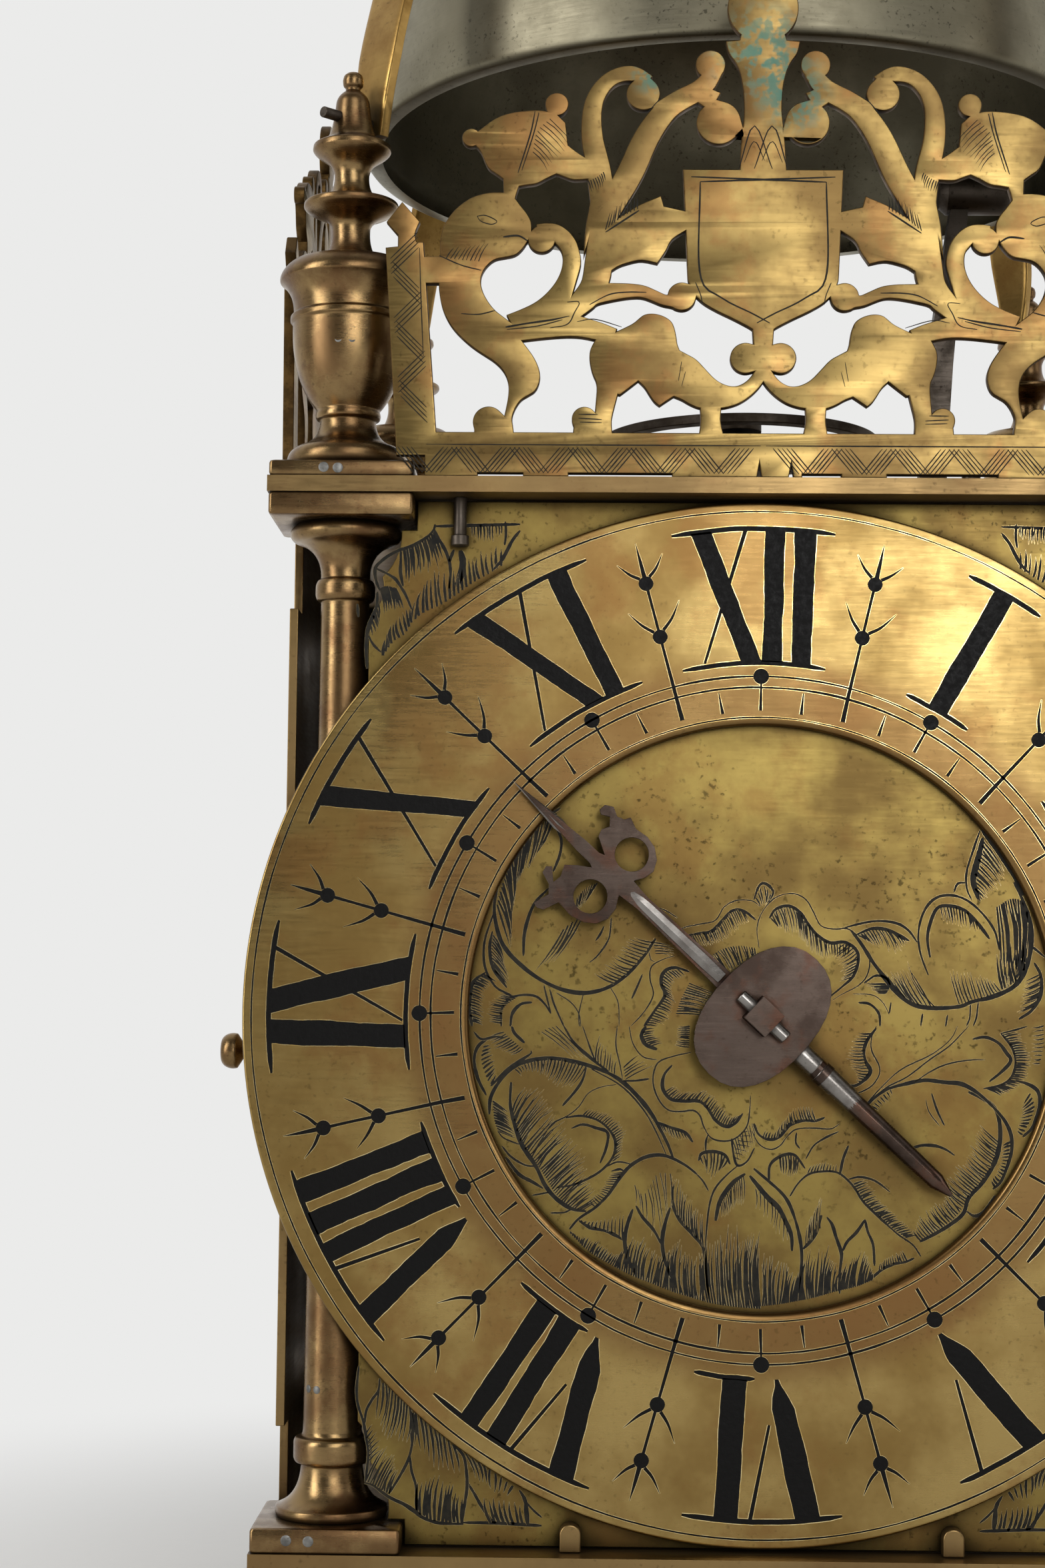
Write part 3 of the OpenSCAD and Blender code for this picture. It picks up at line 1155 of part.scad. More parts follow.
// Stop post on the top plate and leaf spring on the bottom plate
module hammer_mounts() {
    lean = 3;
    color(iron) {
        translate([stop_x, hammer_y, top_z]) {
            cylinder(h = 2, r = 3);
            cylinder(h = 24, r = 1.8);
        }
        translate([hammer_x + hub_r + 0.5 + (hammer_z - floor_z) * sin(lean), hammer_y - 3, floor_z]) {
            translate([-1, 0, 0]) cube([11, 6, 1.6]);
            rotate([0, -lean, 0]) translate([0, 0.5, 0.8]) cube([1, 5, hammer_z - floor_z - 0.8]);
        }
    }
}

// Detent arbor: three arms that lie over the hour wheel's pins, the hoop and the count wheel
detent_arm_t = 1.5;
module detent_arm(y, tip) {
    d = [tip.x - detent_x, tip.y - detent_z];
    side = [-d.y, d.x] / norm(d);
    at(detent_x, detent_z) upright(y, detent_arm_t)
        polygon([side * 2.4, -side * 2.4, d - side * 1.2, d + d / norm(d) * 1.4, d + side * 0.8]);
}

module detent_arbor() {
    rest_gap = 1.6;
    color(steel) {
        at(detent_x, detent_z) {
            rod(-bar_back - 4.6, bar_back + 5.8, detent_r);
            for (y = [-bar_face + 1.7, bar_face - 1.7]) rod(y - 1.3, y + 1.3, detent_r + 1);
        }
        detent_arm(-bar_back - 4.4, [-12, dial_z + lift_pin_r + rest_gap - 2]);
        detent_arm(hoop_y - 3.4, [-6, second_z + hoop_r + rest_gap]);
        detent_arm(bar_back + 4.1, [-5, dial_z + count_r + rest_gap]);
    }
}

clock_frame() bottom_plate();
clock_frame() top_plate();
clock_frame() corners([-1], [-1]) foot();  // front_left_foot
clock_frame() corners([1], [-1]) foot();  // front_right_foot
clock_frame() corners([-1], [1]) foot();  // back_left_foot
clock_frame() corners([1], [1]) foot();  // back_right_foot
clock_frame() corners([-1], [-1]) pillar();  // front_left_pillar
clock_frame() corners([1], [-1]) pillar();  // front_right_pillar
clock_frame() corners([-1], [1]) pillar();  // back_left_pillar
clock_frame() corners([1], [1]) pillar();  // back_right_pillar
clock_frame() corner_finial(-1, -1);  // front_left_finial
clock_frame() corner_finial(1, -1);  // front_right_finial
clock_frame() corner_finial(-1, 1);  // back_left_finial
clock_frame() corner_finial(1, 1);  // back_right_finial
clock_frame() dial_plate();
clock_frame() chapter_ring();
clock_frame() dial_lugs();
clock_frame() dial_catches();
clock_frame() hour_hand();
clock_frame() hour_arbor();
clock_frame() hand_pin();
clock_frame() hour_wheel();
clock_frame() front_fret();
clock_frame() side_fret(-1);  // left_fret
clock_frame() side_fret(1);  // right_fret
clock_frame() door(-1);  // left_door
clock_frame() door_knob(-1);  // left_door_knob
clock_frame() door(1);  // right_door
clock_frame() door_knob(1);  // right_door_knob
clock_frame() back_plate();
clock_frame() wall_spurs();
clock_frame() hanging_hoop();
clock_frame() bell();
clock_frame() bell_strap();
clock_frame() strap_pins();
clock_frame() bell_crown();
clock_frame() bell_nut();
clock_frame() front_bar();
clock_frame() centre_bar();
clock_frame() back_bar();
clock_frame() bar_wedges();
clock_frame() great_wheel(going_great_y, 1, 0);  // going_great_wheel
clock_frame() going_arbor();
clock_frame() pulley(going_great_y + great_t, 1);  // going_pulley
clock_frame() second_wheel();
clock_frame() crown_wheel();
clock_frame() verge_potence();
clock_frame() verge_staff();
clock_frame() balance_wheel();
clock_frame() balance_cock();
clock_frame() great_wheel(strike_great_y, -1, strike_pins);  // strike_great_wheel
clock_frame() strike_arbor();
clock_frame() pulley(strike_great_y - pulley_w, -1);  // strike_pulley
clock_frame() hoop_wheel();
clock_frame() warning_wheel();
clock_frame() fly();
clock_frame() count_wheel();
clock_frame() hammer();
clock_frame() hammer_mounts();
clock_frame() detent_arbor();
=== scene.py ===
import json
import math

import bmesh
import bpy
import numpy as np
from mathutils import Matrix, Vector


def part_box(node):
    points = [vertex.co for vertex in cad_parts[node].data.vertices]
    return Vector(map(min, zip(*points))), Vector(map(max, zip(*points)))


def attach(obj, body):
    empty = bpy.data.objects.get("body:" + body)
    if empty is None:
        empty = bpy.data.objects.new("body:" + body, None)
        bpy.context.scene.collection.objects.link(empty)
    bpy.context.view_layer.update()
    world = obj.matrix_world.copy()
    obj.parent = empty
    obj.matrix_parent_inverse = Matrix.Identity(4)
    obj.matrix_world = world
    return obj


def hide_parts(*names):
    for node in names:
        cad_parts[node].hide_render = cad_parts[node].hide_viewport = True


bl_info = {
    "name": "Lantern Clock",
    "version": (1, 0, 0),
    "blender": (4, 5, 0),
    "location": "View3D > Sidebar > Lantern Clock",
    "description": "Dresses the lantern clock's frame with turned, pierced and engraved brass",
    "category": "Object",
}

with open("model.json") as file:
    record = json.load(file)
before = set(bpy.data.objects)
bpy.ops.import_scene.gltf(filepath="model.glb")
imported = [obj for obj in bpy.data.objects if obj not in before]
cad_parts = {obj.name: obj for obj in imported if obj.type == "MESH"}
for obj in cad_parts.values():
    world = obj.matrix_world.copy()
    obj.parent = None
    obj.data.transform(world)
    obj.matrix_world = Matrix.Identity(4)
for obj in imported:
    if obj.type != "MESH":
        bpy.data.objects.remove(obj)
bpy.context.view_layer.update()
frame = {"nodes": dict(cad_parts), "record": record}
NODES = frame["nodes"]


PLATE_LOW, PLATE_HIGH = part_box("bottom_plate")
# The case frame is in millimetres with its middle on the plates' middle; the row frame is in metres.
CASE_MIDDLE = np.array([0.0, -500.0 * (PLATE_LOW.y + PLATE_HIGH.y), 0.0])
# Heights: the bottom plate's top, the top plate's underside and top, the dial's middle, the bell's rim and crown,
# and the strap's underside over the bell.
FLOOR_Z, ROOF_Z, TOP_Z = 32.5, 192.5, 195.0
DIAL_Z = 112.5
RIM_Z, BELL_TOP, STRAP_Z = 268.5, 328.5, 330.1
# Distances from the case's middle: the pillars' axes, the faces of the ring, dial, frets and doors, and the hand.
CORNER = 65.1
RING_FACE_Y, DIAL_FACE_Y, HAND_Y = -71.7, -69.9, -73.3
FRET_FACE, FRET_BACK, DOOR_FACE = 76.4, 74.6, 74.4
KNOB_Y, KNOB_Z = -51.1, DIAL_Z - 6.5
# Half the width of the corner blocks, and the heights of those under the finials and on the pillars' two ends.
BLOCK_HALF = 11.2
FINIAL_BLOCK, PILLAR_BLOCK_LOW, PILLAR_BLOCK_HIGH = 2.5, 3.7, 3.6
FOOT_TOP, FOOT_BLOCK_TOP = 27.5, 30.0
PILLAR_H = 152.7
HAND_TURN = math.radians(-47)
# Edges that turn by more than this many degrees are eased.
EASED_ANGLE = 34.0


# ---------------------------------------------------------------- colours and node trees


def linear(code):
    """Turns an sRGB hex colour into the linear one that shaders take."""
    values = [int(code[place:place + 2], 16) / 255 for place in (1, 3, 5)]
    return tuple(v / 12.92 if v <= 0.04045 else ((v + 0.055) / 1.055) ** 2.4 for v in values) + (1.0,)


def add(tree, kind, inputs=None, **settings):
    """Adds one shader node, sets its settings, and sets or links its inputs."""
    made = tree.nodes.new("ShaderNode" + kind)
    for key, value in settings.items():
        setattr(made, key, value)
    for key, value in (inputs or {}).items():
        if isinstance(value, bpy.types.NodeSocket):
            tree.links.new(value, made.inputs[key])
        else:
            made.inputs[key].default_value = value
    return made


def new_material(name):
    """A new material with its node tree, its shader and the place that its patterns are laid on."""
    made = bpy.data.materials.new(name)
    made.use_nodes = True
    tree = made.node_tree
    return made, tree, tree.nodes["Principled BSDF"], add(tree, "TexCoord").outputs["Object"]


def blend(tree, share, first, second):
    """The colour between two colours or colour sockets at that share."""
    return add(tree, "Mix", {0: share, 6: first, 7: second}, data_type="RGBA", clamp_factor=True).outputs[2]


def between(tree, value, low, high, start=0.0, end=1.0):
    """Carries a value from low..high to start..end with eased ends."""
    return add(tree, "MapRange", {0: value, 1: low, 2: high, 3: start, 4: end},
               interpolation_type="SMOOTHSTEP").outputs[0]


def speckle(tree, place, size, detail=3.0, rough=0.55):
    """Noise whose patches are about that many millimetres across."""
    return add(tree, "TexNoise", {"Vector": place, "Scale": 1000 / size, "Detail": detail,
                                  "Roughness": rough}).outputs[0]


def distance(tree, place, centre):
    """How far the place is, in metres, from a point given in case millimetres."""
    point = tuple((np.array(centre, float) - CASE_MIDDLE) / 1000)
    return add(tree, "VectorMath", {0: place, 1: point}, operation="DISTANCE").outputs["Value"]


def product(tree, first, second):
    """Two values multiplied."""
    return add(tree, "Math", {0: first, 1: second}, operation="MULTIPLY").outputs[0]


def worn_metal(name, light, deep, soil_and_shade_tone, smooth, rough, mottle, pits, pit_share, pit_depth, soil_and_shade_share,
               soil_and_shade_reach, stretch=None, dents=0.0, bloom=(), stain=None, stain_share=0.5, band=None):
    """A metal whose colour wanders between two tones, with stains, pits, fine scratches, and soiling and painted
    shade that darken its corners and the places where it meets other parts.
    mottle, pits, pit_depth, soil_and_shade_reach, dents and the band's reach are in millimetres; inside the band's
    reach of the dial's middle the metal is browner, and bloom is verdigris round points of the case."""
    made, tree, shader, place = new_material(name)
    patches = speckle(tree, place, mottle, 5.0, 0.6)
    share = between(tree, patches, 0.36, 0.64)
    colour = blend(tree, share, linear(light), linear(deep))
    if stain:
        spots = between(tree, speckle(tree, place, mottle * 0.8 + 1.3, 6.0, 0.62), 0.5, 0.62, 0.0, stain_share)
        colour = blend(tree, spots, colour, linear(stain))
    if band:
        reach, tone = band
        away = distance(tree, place, (0, RING_FACE_Y, DIAL_Z))
        inside = between(tree, away, (reach + 3) / 1000, (reach - 3) / 1000, 0.0, 0.7)
        colour = blend(tree, inside, colour, linear(tone))
    specks = speckle(tree, place, pits, 2.5)
    pitted = between(tree, specks, 0.58, 0.72)
    patchy = product(tree, pitted, between(tree, speckle(tree, place, mottle * 0.7), 0.35, 0.65))
    colour = blend(tree, product(tree, patchy, pit_share), colour, linear(soil_and_shade_tone))
    # Painted shade: where the ambient occlusion finds corners, recesses and joints, the colour goes towards the
    # darkest tone and the surface grows duller. This stands for both the soiling there and the shade that falls
    # there.
    corner = add(tree, "AmbientOcclusion", {"Distance": soil_and_shade_reach / 1000}, samples=6).outputs["AO"]
    soil_and_shade = between(tree, corner, 0.9, 0.35, 0.0, soil_and_shade_share)
    colour = blend(tree, soil_and_shade, colour, linear(soil_and_shade_tone))
    scratch_place = add(tree, "Mapping", {0: place, 2: (0.3, 0.5, 0.9), 3: (1.0, 1.0, 14.0)}).outputs[0]
    scratches = speckle(tree, scratch_place, 6.0, 4.0, 0.7)
    wear = add(tree, "Mix", {0: 0.65, 2: scratches, 3: patches}).outputs[0]
    dullness = between(tree, wear, 0.35, 0.65, smooth, rough)
    dullness = add(tree, "MapRange", {0: soil_and_shade, 3: dullness, 4: 0.75}).outputs[0]
    raised = add(tree, "Bump", {"Strength": 0.5, "Distance": pit_depth / 1000,
                                "Height": product(tree, specks, scratches)}).outputs[0]
    if stretch:
        lines_place = add(tree, "Mapping", {0: place, 3: stretch}).outputs[0]
        lines = speckle(tree, lines_place, 0.5, 2.0)
        raised = add(tree, "Bump", {"Strength": 0.35, "Distance": 0.00002, "Height": lines,
                                    "Normal": raised}).outputs[0]
    if dents:
        hollows = speckle(tree, place, 22.0, 1.5, 0.4)
        raised = add(tree, "Bump", {"Strength": 1.0, "Distance": dents / 1000, "Height": hollows,
                                    "Normal": raised}).outputs[0]
    for centre, reach in bloom:
        nearness = between(tree, distance(tree, place, centre), 0.0, reach / 1000, 1.0, 0.0)
        patch = product(tree, nearness, between(tree, speckle(tree, place, 1.6, 4.0), 0.44, 0.6, 0.0, 0.6))
        colour = blend(tree, patch, colour, linear(VERDIGRIS))
        dullness = add(tree, "MapRange", {0: patch, 3: dullness, 4: 0.85}).outputs[0]
    shader.inputs["Metallic"].default_value = 1.0
    tree.links.new(colour, shader.inputs["Base Color"])
    tree.links.new(dullness, shader.inputs["Roughness"])
    tree.links.new(raised, shader.inputs["Normal"])
    return made


def wax():
    """Black wax melted into the cuts: near black, faintly glossy, and crinkled where the burin has chattered."""
    made, tree, shader, place = new_material("black_wax_filling")
    crinkle = speckle(tree, place, 0.9, 4.0, 0.65)
    shader.inputs["Base Color"].default_value = linear("#0b0a09")
    shader.inputs["Specular IOR Level"].default_value = 0.12
    tree.links.new(between(tree, crinkle, 0.3, 0.7, 0.32, 0.6), shader.inputs["Roughness"])
    raised = add(tree, "Bump", {"Strength": 0.6, "Distance": 0.00012, "Height": crinkle}).outputs[0]
    tree.links.new(raised, shader.inputs["Normal"])
    return made


def engraved_dirt():
    """Old polish and muck that have dried in the engraved lines: dark, dull and slightly uneven in tone."""
    made, tree, shader, place = new_material("dirt_in_engraving")
    share = between(tree, speckle(tree, place, 1.4, 3.0), 0.35, 0.65)
    tree.links.new(blend(tree, share, linear("#11100c"), linear("#242016")), shader.inputs["Base Color"])
    shader.inputs["Roughness"].default_value = 0.55
    shader.inputs["Specular IOR Level"].default_value = 0.2
    return made


VERDIGRIS = "#4f9c93"
# Where the front fret has turned green: points of the case and how far round them, in millimetres.
FRET_BLOOM = [((0, -FRET_FACE, 262), 11), ((-17, -FRET_FACE, 259), 5), ((5, -FRET_FACE, 255), 7)]
# What worn_metal takes for each metal. light, deep and stain are its tones from the polished to the stained; the
# darkest tone is that of its pits and of the soiling and painted shade in its corners.
METALS = {
    # Chapter ring: cast brass, planished and stoned flat by hand, with shallow hollows that bend its reflections.
    "hand_stoned_ring_brass": dict(
        light="#a38b56", deep="#80673a", soil_and_shade_tone="#2a2013", smooth=0.24, rough=0.38, mottle=26.0, pits=0.9,
        pit_share=0.3, pit_depth=0.012, soil_and_shade_share=0.85, soil_and_shade_reach=2.5, dents=0.05, stain="#7e5a33",
        stain_share=0.55, band=(54.5, "#6f5232")),
    # Dial plate: cast sheet brass with darker soiling left between the engraving, and painted shade in its corners.
    "engraved_sheet_brass": dict(
        light="#86733f", deep="#68542f", soil_and_shade_tone="#201b10", smooth=0.28, rough=0.42, mottle=20.0, pits=1.0,
        pit_share=0.7, pit_depth=0.02, soil_and_shade_share=0.95, soil_and_shade_reach=4.0, dents=0.04, stain="#6c4f2b",
        stain_share=0.5),
    # Turned castings: finials, pillars and feet, browner and glossier than the sheets.
    "turned_cast_brass": dict(
        light="#8f7650", deep="#70573a", soil_and_shade_tone="#1e160e", smooth=0.2, rough=0.34, mottle=9.0, pits=0.8,
        pit_share=0.4, pit_depth=0.02, soil_and_shade_share=0.9, soil_and_shade_reach=3.0, stretch=(1.0, 1.0, 30.0), stain="#5f412a"),
    # Frets: pierced castings, golden on the face with the file's marks.
    "pierced_cast_brass": dict(
        light="#9c8450", deep="#77603a", soil_and_shade_tone="#2c2311", smooth=0.29, rough=0.44, mottle=16.0, pits=1.0,
        pit_share=0.4, pit_depth=0.02, soil_and_shade_share=0.75, soil_and_shade_reach=2.0, dents=0.03, bloom=FRET_BLOOM,
        stain="#8a6039"),
    # The frets' sawn and filed edges: dark brown where the polish never reaches.
    "filed_edge_brass": dict(
        light="#6d5430", deep="#4a3820", soil_and_shade_tone="#1f170c", smooth=0.4, rough=0.6, mottle=4.0, pits=0.5,
        pit_share=0.5, pit_depth=0.05, soil_and_shade_share=0.8, soil_and_shade_reach=2.0),
    # Plates, doors and sheets: rolled and hammered brass, brownish and dull.
    "hammered_sheet_brass": dict(
        light="#90774e", deep="#7f6845", soil_and_shade_tone="#221910", smooth=0.28, rough=0.48, mottle=30.0, pits=1.1,
        pit_share=0.4, pit_depth=0.03, soil_and_shade_share=0.85, soil_and_shade_reach=4.0, dents=0.05, stain="#6d5034",
        stain_share=0.35),
    # Strap: hammered brass bar, golden on its flats.
    "hammered_strap_brass": dict(
        light="#b08e52", deep="#8d6c3a", soil_and_shade_tone="#2e2310", smooth=0.28, rough=0.44, mottle=10.0, pits=0.9,
        pit_share=0.4, pit_depth=0.02, soil_and_shade_share=0.8, soil_and_shade_reach=3.0, dents=0.03),
    # Bell: cast bell bronze, a grey-brown skin with a sandy grain.
    "cast_bell_bronze": dict(
        light="#8f8974", deep="#7a7461", soil_and_shade_tone="#1c1813", smooth=0.36, rough=0.52, mottle=22.0, pits=0.7,
        pit_share=0.6, pit_depth=0.04, soil_and_shade_share=0.6, soil_and_shade_reach=4.0),
    # Movement: filed and turned brass wheels, cleaner than the case.
    "filed_wheel_brass": dict(
        light="#b59354", deep="#96743c", soil_and_shade_tone="#33270f", smooth=0.26, rough=0.42, mottle=8.0, pits=0.8,
        pit_share=0.3, pit_depth=0.02, soil_and_shade_share=0.8, soil_and_shade_reach=2.0),
    # Iron bars, hammer and hoop: forged and filed wrought iron, grey-brown with a fibrous grain.
    "forged_wrought_iron": dict(
        light="#5f574f", deep="#40382f", soil_and_shade_tone="#1d1611", smooth=0.38, rough=0.6, mottle=9.0, pits=0.8,
        pit_share=0.6, pit_depth=0.05, soil_and_shade_share=0.8, soil_and_shade_reach=3.0, stretch=(1.0, 1.0, 8.0), dents=0.04),
    # Hand: filed steel, browned by age with reddish patches and bright worn rims.
    "browned_filed_steel": dict(
        light="#5f524a", deep="#3d322c", soil_and_shade_tone="#2b1b12", smooth=0.2, rough=0.32, mottle=9.0, pits=0.5,
        pit_share=0.4, pit_depth=0.012, soil_and_shade_share=0.8, soil_and_shade_reach=1.5, stain="#5d3a2a", stain_share=0.5),
    # Arbors and pinions: turned and polished steel.
    "polished_arbor_steel": dict(
        light="#8f8b86", deep="#6f6964", soil_and_shade_tone="#2c2622", smooth=0.18, rough=0.34, mottle=7.0, pits=0.7,
        pit_share=0.3, pit_depth=0.01, soil_and_shade_share=0.8, soil_and_shade_reach=2.0),
    # Plugs: dull lead let into the castings' blowholes.
    "lead_plug": dict(
        light="#8b8a86", deep="#6c6b68", soil_and_shade_tone="#3a3936", smooth=0.4, rough=0.6, mottle=2.0, pits=0.5,
        pit_share=0.4, pit_depth=0.02, soil_and_shade_share=0.6, soil_and_shade_reach=1.0),
    # The burred edge along a cut line: bright cut metal, made brighter than any other brass as a painted glint where
    # the edge catches the light.
    "bright_burr_brass": dict(
        light="#e3cf9a", deep="#c7a968", soil_and_shade_tone="#4c3d20", smooth=0.18, rough=0.3, mottle=2.0, pits=0.5,
        pit_share=0.3, pit_depth=0.01, soil_and_shade_share=0.2, soil_and_shade_reach=1.0),
}
FILLINGS = {"black_wax_filling": wax, "dirt_in_engraving": engraved_dirt}
MADE = {}


def finish(name):
    """The material of that name, made once."""
    if name not in MADE:
        MADE[name] = worn_metal(name, **METALS[name]) if name in METALS else FILLINGS[name]()
    return MADE[name]


# ---------------------------------------------------------------- surfaces


def bow(start, first, second, end, count=12):
    """A cubic Bezier: it leaves start towards first and comes to end from second."""
    t = np.linspace(0, 1, count + 1)[:, None]
    start, first, second, end = (np.array(p, float) for p in (start, first, second, end))
    return (1 - t) ** 3 * start + 3 * (1 - t) ** 2 * t * first + 3 * (1 - t) * t ** 2 * second + t ** 3 * end


def thinned(line):
    """The line without points that repeat the one before."""
    step = np.linalg.norm(np.diff(line, axis=0), axis=1)
    return line[np.append(True, step > 1e-5)]


def trace(*steps):
    """Joins corners (two numbers) and bows (four points) into one line."""
    return thinned(np.concatenate([bow(*s) if len(s) == 4 else np.array([s], float) for s in steps]))


def eased(line, cut=0.3, turn=18.0):
    """Rounds each corner sharper than turn with a quadratic curve that starts and ends a cut away from it."""
    step = np.diff(line, axis=0)
    length = np.linalg.norm(step, axis=1)
    way = step / length[:, None]
    bend = np.degrees(np.arccos(np.clip((way[:-1] * way[1:]).sum(1), -1, 1)))
    reach = np.where(bend > turn, np.minimum(cut, 0.45 * np.minimum(length[:-1], length[1:])), 0)[:, None]
    corner = line[1:-1]
    start, end = corner - way[:-1] * reach, corner + way[1:] * reach
    t = np.linspace(0, 1, 5)[None, :, None]
    rounded = (1 - t) ** 2 * start[:, None] + 2 * t * (1 - t) * corner[:, None] + t ** 2 * end[:, None]
    return thinned(np.concatenate([line[:1], rounded.reshape(-1, 2), line[-1:]]))


def grid_faces(rows, columns, wrap_rows=False):
    """Quads of a grid whose columns close on themselves; the rows close too where asked."""
    here = np.arange(rows if wrap_rows else rows - 1)[:, None]
    after = (here + 1) % rows
    column = np.arange(columns)[None, :]
    beside = (column + 1) % columns
    corners = np.stack([here * columns + column, here * columns + beside,
                        after * columns + beside, after * columns + column], -1)
    return corners.reshape(-1, 4)


def lathe(line, centre=(0.0, 0.0, 0.0), segments=96, closed=False):
    """A surface of revolution: a point (r, z) of the line goes round the upright axis at x = r cos a,
    y = r sin a. A line that starts or ends on the axis closes there in one pole."""
    angle = np.linspace(0, 2 * np.pi, segments, endpoint=False)
    on_axis = line[:, 0] < 1e-6
    rim = line[~on_axis]
    points = np.stack([rim[:, :1] * np.cos(angle), rim[:, :1] * np.sin(angle),
                       np.repeat(rim[:, 1:], segments, 1)], -1).reshape(-1, 3)
    blocks = [grid_faces(len(rim), segments, closed)]
    ring = np.arange(segments)
    if on_axis[0]:
        blocks.append(np.stack([np.full(segments, len(points)), (ring + 1) % segments, ring], 1))
        points = np.vstack([points, [0, 0, line[0, 1]]])
    if on_axis[-1]:
        last = (len(rim) - 1) * segments
        blocks.append(np.stack([np.full(segments, len(points)), last + ring, last + (ring + 1) % segments], 1))
        points = np.vstack([points, [0, 0, line[-1, 1]]])
    return points + np.array(centre, float), blocks


def stack(loops):
    """A solid skinned over closed loops of points, (loops, points, 3), with a flat cap at each end.
    The loops run anticlockwise seen from the last one."""
    loops = np.asarray(loops, float)
    rows, columns = loops.shape[:2]
    first = np.arange(columns)[::-1][None, :]
    last = (rows - 1) * columns + np.arange(columns)[None, :]
    return loops.reshape(-1, 3), [grid_faces(rows, columns), first, last]


def squarish(half_x, half_y, turn):
    """A rectangle of points with rounded corners of that radius."""
    angle = np.radians(np.array([[0, 22.5, 45, 67.5, 90]]) + np.array([[0], [90], [180], [270]])).ravel()
    side = np.repeat(np.array([[1, 1], [-1, 1], [-1, -1], [1, -1]], float), 5, axis=0)
    return side * [half_x - turn, half_y - turn] + turn * np.stack([np.cos(angle), np.sin(angle)], 1)


def block(low, high, ease=0.5, turn=0.6):
    """A block with eased edges: a rounded square carried up, drawn in at both ends."""
    low, high = np.array(low, float), np.array(high, float)
    middle, half = (low + high) / 2, (high - low) / 2
    inset = ease * np.array([1, 0.3, 0, 0, 0.3, 1])
    levels = np.array([low[2], low[2] + 0.3 * ease, low[2] + ease, high[2] - ease, high[2] - 0.3 * ease, high[2]])
    loops = [np.column_stack([squarish(half[0] - i, half[1] - i, turn) + middle[:2], np.full(20, z)])
             for i, z in zip(inset, levels)]
    return stack(loops)


def corner_block(x, y, low, high):
    """One of the square blocks on the corners, from one height to another."""
    return block((x - BLOCK_HALF, y - BLOCK_HALF, low), (x + BLOCK_HALF, y + BLOCK_HALF, high))


def join(*shapes):
    """Several shapes as one list of points and face blocks."""
    points, blocks, count = [], [], 0
    for shape_points, shape_blocks in shapes:
        points.append(shape_points)
        blocks += [faces + count for faces in shape_blocks]
        count += len(shape_points)
    return np.concatenate(points), blocks


def turned_about(shape, centre, matrix):
    """A shape turned by a 3 by 3 matrix about the origin and then moved to centre."""
    return shape[0] @ np.array(matrix, float).T + np.array(centre, float), shape[1]


def to_mesh(name, shape):
    """Puts points in case millimetres and blocks of faces into a mesh in row metres."""
    points, blocks = shape
    mesh = bpy.data.meshes.new(name)
    loops = np.concatenate([faces.ravel() for faces in blocks]).astype(np.int32)
    sizes = np.concatenate([np.full(len(faces), faces.shape[1]) for faces in blocks])
    starts = np.concatenate([[0], np.cumsum(sizes)[:-1]]).astype(np.int32)
    mesh.vertices.add(len(points))
    mesh.vertices.foreach_set("co", ((points - CASE_MIDDLE) / 1000).ravel())
    mesh.loops.add(len(loops))
    mesh.loops.foreach_set("vertex_index", loops)
    mesh.polygons.add(len(sizes))
    mesh.polygons.foreach_set("loop_start", starts)
    mesh.update(calc_edges=True)
    mesh.validate()
    return mesh


def show(name, mesh, materials, body, replaces=(), sharp=32.0):
    """Makes the piece's object, shades it, hangs it on its body's empty and hides the CAD nodes that it stands for.
    """
    mesh.shade_smooth()
    mesh.set_sharp_from_angle(angle=math.radians(sharp))
    piece = bpy.data.objects.new(name, mesh)
    bpy.context.scene.collection.objects.link(piece)
    for material in materials:
        mesh.materials.append(finish(material))
    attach(piece, body)
    if replaces:
        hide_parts(*replaces)
    return piece


def show_turned(node, mesh_name, shape, body="case"):
    """Shows a turned casting in its CAD node's place."""
    show("turned_" + node, to_mesh(mesh_name, shape), ["turned_cast_brass"], body, (node,))


def show_cuts(name, mesh_name, shape, material):
    """Shows bands that lie in cuts of the case's brass."""
    show(name, to_mesh(mesh_name, shape), [material], "case", sharp=20)


def merged(name):
    """A merged copy of a CAD node's mesh with its flat faces joined up."""
    made = bmesh.new()
    made.from_mesh(NODES[name].data)
    bmesh.ops.remove_doubles(made, verts=made.verts, dist=1e-6)
    bmesh.ops.dissolve_limit(made, angle_limit=math.radians(0.6), verts=made.verts, edges=made.edges)
    mesh = bpy.data.meshes.new("eased_" + name)
    made.to_mesh(mesh)
    made.free()
    return mesh


def eased_copy(node, material, width, segments=2):
    """Stands a smooth-shaded, edge-eased copy in a CAD node's place."""
    mesh = merged(node)
    body = next(b for b, names in frame["record"]["behaviour"]["bodies"].items() if node in names)
    piece = show("eased_" + node, mesh, [material], body, (node,), 30.0)
    ease = piece.modifiers.new("eased_edges", "BEVEL")
    ease.width = width / 1000
    ease.segments = segments
    ease.limit_method = "ANGLE"
    ease.angle_limit = math.radians(EASED_ANGLE)
    ease.harden_normals = True


# ---------------------------------------------------------------- profiles, (r, z) in millimetres


def foot_line():
    """A ball on a small toe, a waist, and a flared collar under the corner block."""
    t = FOOT_TOP
    return trace([0, 0], [5.2, 0], [5.6, .6], [5.6, 1.8], [[4.4, 2.4], [3.6, 3.2], [3.8, 4.2], [5, 4.8]],
                 [[5, 4.8], [10.2, 6.6], [10.2, t - 10.6], [4.6, t - 8.4]],
                 [[4.6, t - 8.4], [3.6, t - 6.6], [4, t - 5.2], [6.4, t - 3.8]],
                 [[6.4, t - 3.8], [9.8, t - 3.2], [9.8, t - .6], [8.8, t]], [0, t])


